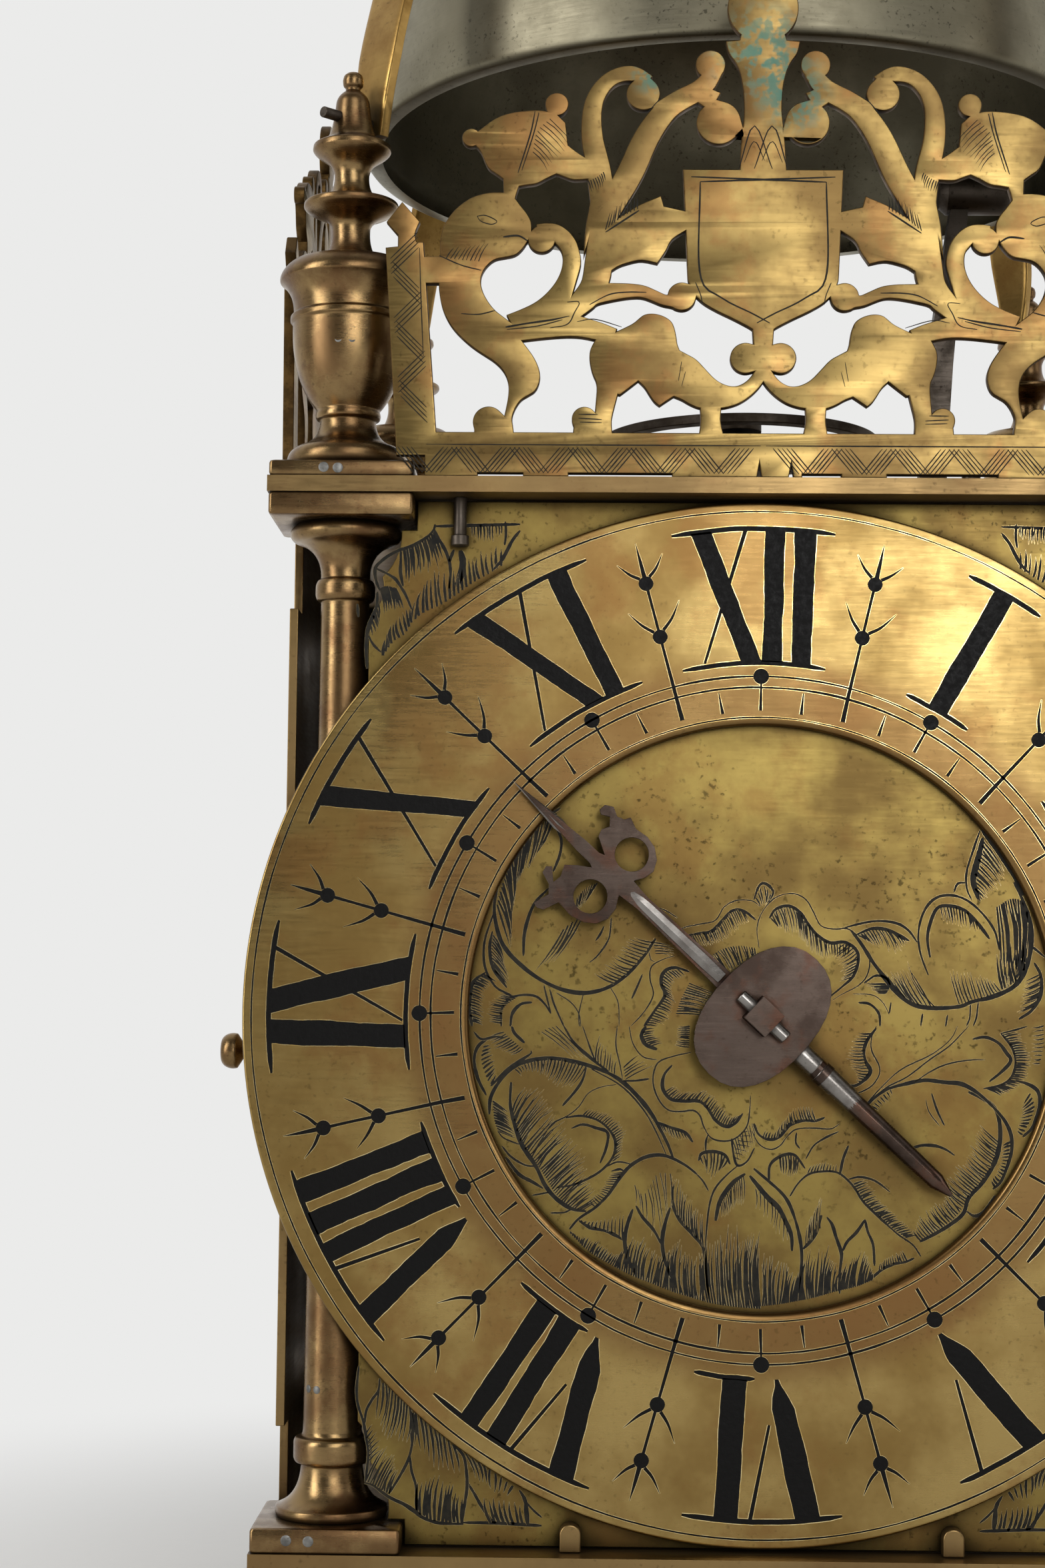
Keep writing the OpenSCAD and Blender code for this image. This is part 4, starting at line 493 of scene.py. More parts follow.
def pillar_line():
    """A bell-shaped base, a bead, a long tapering shaft, a second bead and a bell-shaped cap."""
    h, up = PILLAR_H, PILLAR_H - 10.4
    return trace([0, 0], [8.3, 0], [8.6, .7], [[8.5, 1.6], [6.6, 2.4], [5, 3.6], [4.7, 7.6]],
                 [4.8, 7.8], [5.6, 8], [5.9, 8.6], [5.9, 11.2], [5.6, 11.8], [4.7, 12], [4.5, 12.6],
                 [3.8, up - 2.2], [3.8, up - 1.8], [4.4, up - 1.6], [4.7, up - .8], [4.7, up + .8],
                 [4.4, up + 1.6], [3.9, up + 1.8],
                 [[3.9, up + 1.8], [3.7, up + 4.6], [5, up + 6.6], [7.2, up + 7.4]],
                 [[7.2, up + 7.4], [9.2, up + 7.8], [9.2, h - .8], [8, h - .2]], [7.8, h], [0, h])


def finial_line():
    """A base, a waist with a bead, an urn under a spreading rim, two collars and a ball-tipped cap."""
    return trace([0, 0], [8.6, 0], [[8.6, 0], [10, .8], [9.9, 3], [8, 3.8]],
                 [[8, 3.8], [5.8, 4.6], [4.6, 5.6], [4.4, 8.2]], [4.4, 8.2], [5.1, 8.5], [5.2, 9.2], [5, 9.9],
                 [[5, 9.9], [7.2, 12.4], [9, 16.6], [9, 22.4]], [9, 22.4], [9, 23.8], [9.4, 24.1], [9.4, 25],
                 [8.9, 25.3], [[8.9, 25.3], [8.8, 28.2], [10, 29.8], [11.1, 30.5]],
                 [[11.1, 30.5], [11.4, 31.4], [10.6, 32.8], [9, 33.8]], [9, 33.8], [4.6, 34.3],
                 [[4.6, 34.3], [3.4, 35.6], [2.9, 37.4], [3.1, 39.6]],
                 [[3.1, 39.6], [3.6, 41.4], [5.4, 41.2], [7.3, 42.6]], [7.6, 43], [7.5, 43.7], [4.4, 44.3],
                 [[4.4, 44.3], [3.1, 45.2], [2.7, 46.8], [2.8, 48.4]],
                 [[2.8, 48.4], [3.2, 50.6], [4.8, 50.6], [6, 51.9]], [6.3, 52.3], [6.2, 53.2], [4.2, 54.2],
                 [[4.2, 54.2], [3.4, 54.8], [3, 57.4], [2.7, 60]], [[2.7, 60], [2.6, 61.4], [1.6, 61.9], [1.2, 62.3]],
                 [1.2, 62.3], [1.2, 62.7], [1.6, 63.1], [1.7, 64], [1.5, 64.8], [.9, 65.3], [0, 65.4])


def crown_line():
    """The strap's finial: a flared base, a waist, a pear, a cushion, a neck and an acorn."""
    return trace([0, 0], [7, 0], [[7, 0], [8.2, .8], [7.8, 2.4], [6, 3]], [[6, 3], [4, 4], [3.4, 5.6], [3.6, 8]],
                 [[3.6, 8], [7.4, 9.6], [9.2, 13], [7.2, 18]], [[7.2, 18], [6.8, 20], [9, 20.4], [8.6, 22]],
                 [[8.6, 22], [5, 23], [3, 24], [2.8, 27]], [2.8, 27], [4.6, 27.6], [4.7, 28.4], [3, 29.2],
                 [[3, 29.2], [1.6, 30.4], [1.8, 32], [2.8, 32.8]], [[2.8, 32.8], [4.2, 34.4], [3.6, 37.6], [0, 38]])


def bell_line():
    """The bell's wall, up its outside and down its inside: a chamfered lip, a steep side and a flat crown."""
    r, h, lip, wall, hole = 68.5, 60.0, 3.4, 2.4, 2.45

    def side(r, h, low=True):
        start = [bow([r, 1.7], [r - .6, .3 * h], [r - 4, .62 * h], [.7 * r, .84 * h], 30)] if low else []
        return np.concatenate(start + [bow([.7 * r, .84 * h], [.46 * r, .98 * h], [.3 * r, h], [.14 * r, h], 24)])
    outer, inner = side(r, h), side(r - 3, h - wall)[::-1]
    return thinned(np.concatenate([[[r - lip, 0], [r - 1.1, 0], [r - .5, .25], [r, .9]], outer,
                                   [[hole, h], [hole, h - wall]], inner]))


def knob_line():
    """The door knob: a foot, a waist and a small mushroom head."""
    l, head = 10.7, 2.75
    return trace([0, 0], [2.4, 0], [2.4, .8], [1.5, 1.4], [1.2, 3], [1.2, l - 3.6], [2, l - 3.1],
                 [[head, l - 2.6], [3.05, l - 1.8], [head, l - .3], [1.6, l]], [0, l])


def plug(x, y, z, turn, radius):
    """A small lead disc let into a face that looks out at that many degrees from the front."""
    a = math.radians(turn - 90)
    way, side = np.array([math.cos(a), math.sin(a), 0]), np.array([-math.sin(a), math.cos(a), 0])
    line = trace([0, -.5], [radius, -.5], [radius, .03], [radius - .12, .1], [0, .1])
    return turned_about(lathe(line, segments=20), (x, y, z), np.stack([side, [0, 0, 1], way], 1))


# ---------------------------------------------------------------- cut lines and bands


def smooth_line(points, count=8):
    """A Catmull-Rom curve through rows of numbers, count steps between each two."""
    points = np.array(points, float)
    if len(points) < 3:
        t = np.linspace(0, 1, count + 1)[:, None]
        return points[0] * (1 - t) + points[-1] * t
    ends = np.vstack([2 * points[0] - points[1], points, 2 * points[-1] - points[-2]])
    a, b, c, d = ends[:-3, None], ends[1:-2, None], ends[2:-1, None], ends[3:, None]
    t = np.linspace(0, 1, count, endpoint=False)[None, :, None]
    curve = 0.5 * (2 * b + (c - a) * t + (2 * a - 5 * b + 4 * c - d) * t ** 2 + (3 * b - a - 3 * c + d) * t ** 3)
    return np.vstack([curve.reshape(-1, points.shape[1]), points[-1:]])


def stroke(rows):
    """The two edges of a line of given width: rows are x, z, width; the edges lie half a width to each side."""
    rows = np.asarray(rows, float)
    way = np.gradient(rows[:, :2], axis=0)
    way /= np.maximum(np.linalg.norm(way, axis=1), 1e-9)[:, None]
    across = np.stack([-way[:, 1], way[:, 0]], 1) * rows[:, 2:3] / 2
    return rows[:, :2] + across, rows[:, :2] - across


def bands(edges, lift, top=0.03, root=0.12):
    """Shallow box-section bands on a surface: each pair of edges is carried from root below it to top above it."""
    points, blocks, count = [], [], 0
    for number, (left, right) in enumerate(edges):
        # Neighbours differ a little in height, so that where they cross they share no plane.
        rise = top + 0.004 * (number % 4)
        loops = np.stack([lift(left, rise), lift(right, rise), lift(right, -root), lift(left, -root)], 1)
        points.append(loops.reshape(-1, 3))
        size = len(left)
        blocks += [grid_faces(size, 4) + count, np.array([[3, 2, 1, 0]]) + count,
                   np.array([[0, 1, 2, 3]]) + count + (size - 1) * 4]
        count += size * 4
    quads = np.concatenate(blocks)
    return np.concatenate(points), [quads]


def on_front(y, z0=DIAL_Z):
    """Lifts flat (x, z) points to a face that looks to the front: height stands out of it."""
    return lambda flat, height: np.column_stack([flat[:, 0], np.full(len(flat), y - height), flat[:, 1] + z0])


def on_left(shape):
    """Turns a shape made for the front so that it faces the clock's left."""
    return shape[0][:, [1, 0, 2]] * [1, -1, 1], shape[1]


def on_right(shape):
    """Turns a shape made for the front so that it faces the clock's right."""
    return shape[0][:, [1, 0, 2]] * [-1, 1, 1], shape[1]


# ---------------------------------------------------------------- the dial's numbers

OUTER_R = 75.2
INNER_R = 54.5
# Each hour: thick strokes (outer from, to, inner from, to), legs of a five (outer from, to, foot), hairlines
# (outer, inner, inner radius) and the two end lines (outer from, to, inner from, to), as distances to the right
# of the hour's radius.
NUMBERS = {
    1: ([(-1.6, 1.7, -1.5, 1.5)], [], [], (-6.2, 6.4, -5.4, 5.4)),
    2: ([(-4.2, -.9, -3.7, -.7), (.8, 4.1, .8, 3.8)], [], [], (-8.2, 8.4, -7.2, 7.4)),
    3: ([(-6.6, -3.3, -5.9, -2.9), (-1.6, 1.7, -1.5, 1.5), (3.3, 6.6, 2.9, 5.9)], [], [], (-10.6, 10.8, -9.2, 9.4)),
    4: ([(-9, -5.7, -8.1, -5.1), (-4.1, -.8, -3.7, -.7), (.8, 4.1, .7, 3.7), (5.7, 9, 5.1, 8.1)], [], [],
        (-13, 13.2, -11.4, 11.6)),
    5: ([], [(-5.6, -2, .4)], [(5.2, 1.7, 61.5)], (-9.2, 8.8, 0, 0)),
    6: ([(3.5, 7.1, 2.2, 5.8)], [(-8.9, -5.1, -2.3)], [(1.7, -1.2, 61.1)], (-12.1, 11.9, 1, 10.1)),
    7: ([(1.1, 4.3, .2, 3.8), (5.9, 9.2, 4.4, 7.7)], [(-10.3, -6.6, -2.8)], [(0, -2.3, 62.7)],
        (-13, 14.2, -1.1, 11.2)),
    8: ([(-.1, 3.2, -1.6, 1.4), (4.6, 8, 2.4, 6), (9.8, 13.2, 6.9, 10.2)], [(-11.2, -7.9, -4.5)],
        [(-1.2, -3.6, 61.9)], (-14.2, 14.9, -2.4, 11.6)),
    9: ([(-4.8, -1.1, -5.3, -1.7), (-.2, 3.6, 5.1, 8.7)], [], [(9.9, -1.1, 54.8)], (-9.3, 14, -8.6, 12.1)),
    10: ([(-6.5, -3.3, 3.3, 6.4)], [], [(5.6, -5.5, 54.8)], (-9.8, 9, -9, 9)),
    11: ([(-9.6, -6.4, .3, 3.3), (5, 8.2, 3.7, 6.7)], [], [(.2, -7.1, 54.8)], (-11.8, 11.6, -10.3, 9.7)),
    12: ([(-11, -7.8, -3.1, 0), (.6, 3.8, .2, 3.2), (5.3, 8.7, 4.6, 7.5)], [], [(-2.4, -8.7, 54.8)],
         (-13.9, 11.5, -12.1, 9.9)),
}


def around(hour):
    """Carries (right, out) points of an hour's radius to the dial's x and z."""
    turn = math.radians(30 * hour)
    return np.array([[math.cos(turn), -math.sin(turn)], [math.sin(turn), math.cos(turn)]])


def at_radius(right, radius):
    """The point at that distance right of the hour's radius and that radius from the centre."""
    return np.array([right, math.sqrt(radius ** 2 - right ** 2)])


def waver(draw, count, size=0.07):
    """A slow wander of an edge, as a hand-held burin gives."""
    return np.convolve(draw.normal(0, size, count + 4), np.ones(5) / 2.2, "valid")


def thick(draw, outer_a, outer_b, inner_a, inner_b, waist=None):
    """A broad stroke from the outer end line to the inner one, with wandering edges; waist tapers a leg's foot."""
    t = np.linspace(0, 1, 25)[:, None]
    left = at_radius(outer_a, OUTER_R) * (1 - t) + at_radius(inner_a, INNER_R) * t
    right = at_radius(outer_b, OUTER_R) * (1 - t) + at_radius(inner_b, INNER_R) * t
    if waist:
        middle = (left + right) / 2
        half = (right - left) / 2
        share = np.clip((1 - t) / 0.2, 0, 1) ** 0.75
        left, right = middle - half * share, middle + half * share
    left[:, 0] += waver(draw, 25)
    right[:, 0] += waver(draw, 25)
    return left, right


def number_edges(draw):
    """The numerals' strokes, legs, hairlines and end lines, each as the two edges of a band."""
    cuts = []
    for hour, (bars, legs, hairs, ends) in NUMBERS.items():
        turn = around(hour)
        flat = [thick(draw, *bar) for bar in bars]
        for outer_a, outer_b, foot in legs:
            flat.append(thick(draw, outer_a, outer_b, foot - 1.75, foot + 1.75, waist=True))
            flat[-1][0][-1] = at_radius(foot - .3, 54.4)
            flat[-1][1][-1] = at_radius(foot + .3, 54.4)
        for outer, inner, radius in hairs:
            a, b = at_radius(outer, OUTER_R), at_radius(inner, radius)
            rows = np.column_stack([np.linspace(a, b, 12), np.linspace(.62, .42, 12)])
            flat.append(stroke(rows))
        for radius, (start, end), width in ((75.3, ends[:2], .78), (54.3, ends[2:], .72)):
            if start == end:
                continue
            angle = np.linspace(math.asin(start / radius), math.asin(end / radius), 26)
            r = radius + waver(draw, 26, .03)
            size = width * np.clip(np.minimum(np.arange(26), np.arange(26)[::-1]) / 4 + .45, 0, 1)
            flat.append(stroke(np.column_stack([np.sin(angle) * r, np.cos(angle) * r, size])))
        cuts += [(left @ turn, right @ turn) for left, right in flat]
    return cuts


def widened(edges, by):
    """The same bands, wider by that much on each side and at each end."""
    out = []
    for left, right in edges:
        across = left - right
        across /= np.maximum(np.linalg.norm(across, axis=1), 1e-6)[:, None]
        out.append((left + across * by, right - across * by))
    return out


def disc(x, z, radius, count=20):
    """A round dot as a pair of edges: the upper and lower half of a circle."""
    angle = np.linspace(0, np.pi, count // 2 + 1)
    angle[0], angle[-1] = 0.02, np.pi - 0.02
    way = np.stack([-np.cos(angle), np.sin(angle)], 1) * radius
    return way * [1, 1] + [x, z], way * [1, -1] + [x, z]


def circle_line(draw, radius, width, count=180):
    """A scribed circle of that radius and width whose depth wavers."""
    angle = np.radians(np.linspace(0.0, 360.0, count))
    r = radius + waver(draw, count, 0.02)
    size = width * (1 + waver(draw, count, 0.16))
    return stroke(np.column_stack([np.sin(angle) * r, np.cos(angle) * r, np.maximum(size, width * 0.25)]))


# The ring's circles: radius and width of each.
TRACKS = ((52.2, .3), (50.5, .34), (45.85, .22), (78.0, .26))


def track_edges(draw):
    """The circles, the forty-eight divisions, the hour dots and the half-hour arrows."""
    cuts = [circle_line(draw, radius, width) for radius, width in TRACKS]
    for part in range(48):
        turn = around(part / 4)
        lean = draw.normal(0, .12)
        flat, dots = [], []
        if part % 4 == 0:
            flat.append(stroke([[0, 51.2, .3], [lean * .5, 49, .42], [lean, 46.9, .5]]))
            dots.append((0, 52.2, 1.22))
        elif part % 4 == 2:
            sway = draw.normal(0, .25)
            top = 75.2 + draw.normal(0, .3)
            flat.append(stroke([[-sway, 46.9, .72], [-sway * .6, 50.5, .6], [0, 60.2, .42]]))
            flat.append(stroke([[0, 60.2, .5], [sway * .3, 64.5, .44], [sway * .5, 68.9, .5]]))
            flat.append(stroke(smooth_line([[sway * .5, 69.4, .75], [sway * .7, 72.4, .5], [sway, top, .06]], 4)))
            for level, reach, rise, base in ((60.3, 4.1, 4.8, sway * 0), (68.9, 3.6, 4.0, sway * .5)):
                for side in (-1, 1):
                    far = reach * (1 + draw.normal(0, .06))
                    flat.append(stroke(smooth_line([
                        [base + side * .75, level + .9, .55],
                        [base + side * far * .58, level + rise * .5, .42],
                        [base + side * far, level + rise + draw.normal(0, .2), .06]], 5)))
                dots.append((base, level, 1.16))
        else:
            flat.append(stroke([[0, 50.0, .18], [lean * .5, 48, .38], [lean, 46.7, .55]]))
        cuts += [(left @ turn, right @ turn) for left, right in flat]
        for x, z, radius in dots:
            spot = np.array([x, z]) @ turn
            cuts.append(disc(spot[0], spot[1], radius))
    return cuts


# ---------------------------------------------------------------- engraving

# A line is its width and then x, z, x, z and so on. A comb is a width, a count, the line that its strokes start
# from and the line that their points end on.
DIAL_LINES = (
    (0.5, -309, 317, -358, 282, -395, 224, -409, 172, -406, 135, -394, 103, -368, 75, -336, 52, -301, 37, -267, 33,
      -233, 42, -204, 62, -178, 91, -161, 117), (0.35, -315, 288, -307, 268, -309, 245, -319, 219),
    (0.4, -326, 193, -349, 167, -362, 127, -364, 89), (0.22, -229, 148, -233, 116, -250, 90, -262, 80),
    (0.25, -240, 136, -246, 123, -253, 113), (0.4, -412, 126, -416, 100, -410, 69, -389, 40),
    (0.3, -410, 155, -423, 115, -425, 86, -420, 63, -405, 40, -382, 29),
    (0.45, -422, 63, -440, 49, -445, 29, -446, 6, -442, -19),
    (0.3, -397, -19, -397, 6, -385, 23, -365, 29, -344, 27, -330, 15, -321, 1),
    (0.4, -350, 18, -367, 15, -380, 1, -383, -19), (0.22, -332, 44, -327, 24, -321, 1),
    (0.25, -323, 38, -316, 15, -301, -18), (0.15, -313, 33, -290, 18, -278, 1, -275, -18),
    (0.15, -230, 42, -218, 19, -216, -17), (0.15, -271, 33, -278, 1, -277, -18),
    (0.18, -131, 123, -118, 134, -92, 140, -69, 146, -55, 167, -35, 177, -12, 176, -1, 168),
    (0.4, -112, 122, -92, 126, -75, 129, -58, 146, -43, 161, -26, 161, -7, 147),
    (0.18, -132, 91, -150, 85, -167, 74, -169, 54, -164, 31, -178, 5, -198, -17),
    (0.42, -109, 67, -132, 73, -149, 65, -152, 48, -146, 31, -161, 8, -178, -17),
    (0.15, -171, 97, -168, 85, -161, 81), (0.15, -167, 166, -147, 161, -127, 149),
    (0.3, -181, 62, -188, 45, -197, 25),
    (0.18, -2, 104, -5, 135, 4, 161, 24, 182, 50, 188, 70, 179, 82, 159, 93, 139, 113, 134, 136, 134, 153, 117, 167,
      91, 164, 65, 150, 48, 124, 34, 110, 25),
    (0.42, 14, 150, 24, 164, 44, 169, 61, 159, 73, 142, 87, 125, 107, 113, 130, 114, 147, 102, 150, 85, 142, 62, 124,
      45, 107, 31), (0.35, -10, 178, -2, 199, 8, 203, 20, 190, 11, 174),
    (0.3, 125, 135, 159, 144, 185, 147, 211, 143, 228, 132, 240, 115),
    (0.4, 146, 125, 170, 135, 193, 134, 216, 124, 228, 117),
    (0.55, 139, 132, 159, 105, 173, 83, 193, 57, 213, 34, 233, 20, 256, 15, 281, 15, 307, 18, 324, 25, 356, 33, 384,
      46, 399, 62, 410, 87, 415, 116, 414, 145, 403, 179, 389, 208),
    (0.35, 257, 65, 246, 95, 242, 123, 246, 149, 257, 172, 274, 185, 297, 187, 320, 178, 342, 158, 359, 133, 366,
      104), (0.45, 260, 92, 256, 120, 261, 146, 272, 168, 291, 171, 314, 164, 334, 144, 351, 121),
    (0.3, 338, 288, 329, 262, 317, 224, 317, 198, 324, 181), (0.75, 342, 276, 336, 250, 329, 224, 327, 207, 335, 181),
    (0.3, 314, 207, 303, 205, 297, 192), (0.7, 341, 288, 363, 259, 389, 219, 403, 188), (0.3, 416, 110, 436, 93),
    (0.5, 419, 85, 429, 65, 428, 36, 415, 13, 395, -1), (0.22, 321, 24, 320, 1, 315, -12),
    (0.22, 333, 24, 330, 1, 325, -12), (0.25, 248, 6, 245, -13), (0.25, 286, 4, 283, -13),
    (0.15, 141, 35, 170, 34, 187, 23, 197, 4), (0.35, 150, 22, 167, 20, 181, 6, 183, -14), (0.22, 200, 23, 197, 6),
    (0.3, 159, 52, 176, 63, 192, 60, 199, 49),
    (0.5, -414, -153, -412, -127, -398, -102, -375, -80, -349, -70, -318, -67, -289, -71, -261, -78, -232, -89, -209,
      -103, -186, -125, -166, -150, -151, -176, -140, -198, -133, -216),
    (0.22, -258, -83, -220, -103, -197, -122, -174, -150, -157, -181, -143, -212),
    (0.5, -381, -104, -382, -138, -374, -172, -363, -200, -342, -231, -328, -259, -311, -279, -288, -294, -265, -298),
    (0.25, -401, -178, -391, -189, -368, -198), (0.3, -394, -201, -380, -217, -359, -229, -342, -231),
    (0.45, -388, -218, -368, -243, -348, -254, -331, -264), (0.22, -348, -275, -322, -270),
    (0.22, -319, -301, -299, -300, -285, -294), (0.35, -266, -80, -272, -100, -283, -117, -302, -139),
    (0.18, -220, -106, -243, -110, -263, -120, -277, -140, -294, -154, -317, -166, -331, -186, -348, -212),
    (0.32, -297, -157, -274, -154, -249, -160, -231, -174, -221, -193, -225, -216, -242, -236, -265, -250, -288, -259,
      -311, -263), (0.38, -288, -173, -271, -167, -251, -172, -233, -179, -235, -202, -244, -225),
    (0.22, -234, -230, -217, -223, -197, -226), (0.28, -227, -237, -214, -234, -208, -237),
    (0.42, -290, -325, -276, -309, -251, -292, -231, -272, -214, -247, -197, -228, -174, -215, -151, -212, -131, -218,
      -111, -229, -97, -240), (0.22, -97, -240, -87, -251, -79, -265),
    (0.42, -276, -312, -259, -322, -236, -327, -219, -334, -208, -341),
    (0.45, -194, -294, -202, -317, -206, -340, -202, -365, -190, -390),
    (0.4, -189, -289, -179, -306, -162, -325, -151, -345),
    (0.45, -137, -291, -145, -316, -149, -342, -145, -370, -134, -398),
    (0.45, -134, -288, -122, -311, -103, -330, -88, -349, -83, -372, -80, -411, -80, -428),
    (0.25, -32, -225, -52, -242, -69, -262, -77, -285, -81, -316, -84, -355),
    (0.55, -23, -239, -40, -251, -54, -268, -63, -285, -68, -310),
    (0.16, -219, -17, -221, -46, -215, -74, -210, -100), (0.16, -201, -17, -195, -43, -180, -63, -158, -68),
    (0.22, -106, -56, -132, -62, -155, -71, -163, -88, -163, -108, -154, -130, -140, -144, -120, -146, -103, -144,
      -92, -152, -86, -169, -74, -186, -52, -190, -34, -183, -20, -166, -16, -140, -15, -121),
    (0.42, -135, -76, -147, -91, -149, -111, -137, -127, -117, -130, -94, -130, -80, -141, -69, -158, -52, -168, -37,
      -162, -27, -148), (0.5, -175, -17, -182, -31, -175, -45, -158, -52), (0.3, -209, -100, -192, -100, -170, -97),
    (0.4, -160, -162, -134, -171, -114, -178, -103, -192),
    (0.38, -94, -220, -89, -209, -71, -206, -54, -211, -46, -225), (0.25, -80, -181, -83, -192, -83, -209),
    (0.3, -44, -186, -40, -214, -34, -227, -20, -220, -9, -200), (0.35, -301, -18, -284, -44, -252, -72, -232, -86),
    (0.22, -272, -18, -261, -49, -252, -72), (0.3, -439, -28, -427, -39, -407, -35, -393, -36),
    (0.4, -419, -124, -432, -99, -438, -71, -433, -51, -419, -39, -413, -36),
    (0.4, -412, -110, -389, -87, -375, -76, -352, -61, -351, -56), (0.4, -381, -19, -376, -30, -361, -44),
    (0.45, 155, -147, 169, -127, 192, -110, 221, -101, 252, -95, 281, -98, 306, -100, 329, -112, 351, -131, 371, -154,
      381, -176, 382, -199, 376, -221, 365, -247, 353, -258),
    (0.5, 317, -112, 346, -126, 360, -142, 365, -171, 362, -199, 353, -224, 336, -250, 316, -272, 308, -295, 288,
      -312, 265, -326, 242, -338), (0.35, 121, -238, 126, -215, 134, -195),
    (0.38, 214, -217, 223, -203, 243, -194, 266, -194, 283, -200, 295, -208), (0.32, 261, -115, 269, -140, 280, -163),
    (0.15, 252, -124, 257, -143, 273, -164),
    (0.42, -10, -231, 13, -250, 32, -267, 44, -284, 55, -314, 62, -348, 62, -381, 55, -423),
    (0.55, -16, -242, 10, -273, 27, -289, 38, -309, 47, -331, 48, -354),
    (0.3, 45, -272, 58, -252, 75, -238, 98, -234, 118, -236, 135, -249, 146, -263, 157, -280, 180, -302, 208, -327,
      231, -343, 243, -360), (0.42, 65, -351, 78, -337, 86, -322, 93, -300),
    (0.42, 101, -303, 109, -314, 115, -333, 122, -353, 123, -364, 120, -389, 120, -417),
    (0.42, 125, -353, 132, -339, 146, -325, 159, -306), (0.35, 159, -306, 163, -324, 171, -344, 173, -375),
    (0.38, 168, -394, 185, -380, 202, -372, 219, -369, 233, -363),
    (0.18, 177, -14, 170, -31, 170, -51, 181, -73, 181, -88, 169, -105, 147, -116, 124, -118, 107, -108, 87, -86),
    (0.45, 177, -17, 164, -34, 158, -51, 161, -68, 168, -82, 158, -96, 141, -105, 118, -98),
    (0.18, -13, -174, -2, -194, 15, -202, 30, -196, 41, -182, 55, -171, 81, -169, 107, -170, 121, -162),
    (0.42, -10, -163, -2, -180, 15, -187, 30, -182, 44, -165, 64, -158, 84, -158, 98, -153),
    (0.18, 155, -142, 187, -110, 224, -90, 258, -64, 287, -44, 310, -21, 318, -12),
    (0.18, 146, -150, 181, -110, 215, -79, 261, -56, 290, -33, 301, -13),
    (0.18, 343, -63, 318, -64, 286, -70, 261, -81, 235, -98),
    (0.45, 324, -32, 344, -29, 364, -38, 375, -52, 382, -64, 369, -80, 349, -96),
    (0.3, 367, -23, 383, -43, 389, -66, 383, -88, 366, -101, 340, -107),
    (0.45, 389, -94, 409, -100, 423, -111, 425, -133, 414, -164, 399, -179), (0.25, 367, -23, 387, -18, 407, -12),
    (0.3, 133, -246, 152, -242, 175, -248, 197, -264), (0.4, 313, -292, 325, -299, 339, -292, 356, -268),
    (0.22, 55, -176, 54, -191, 60, -200), (0.38, 13, -250, 15, -225, 33, -211, 52, -210, 68, -230),
    (0.25, 69, -216, 81, -196, 98, -184, 119, -174),
)
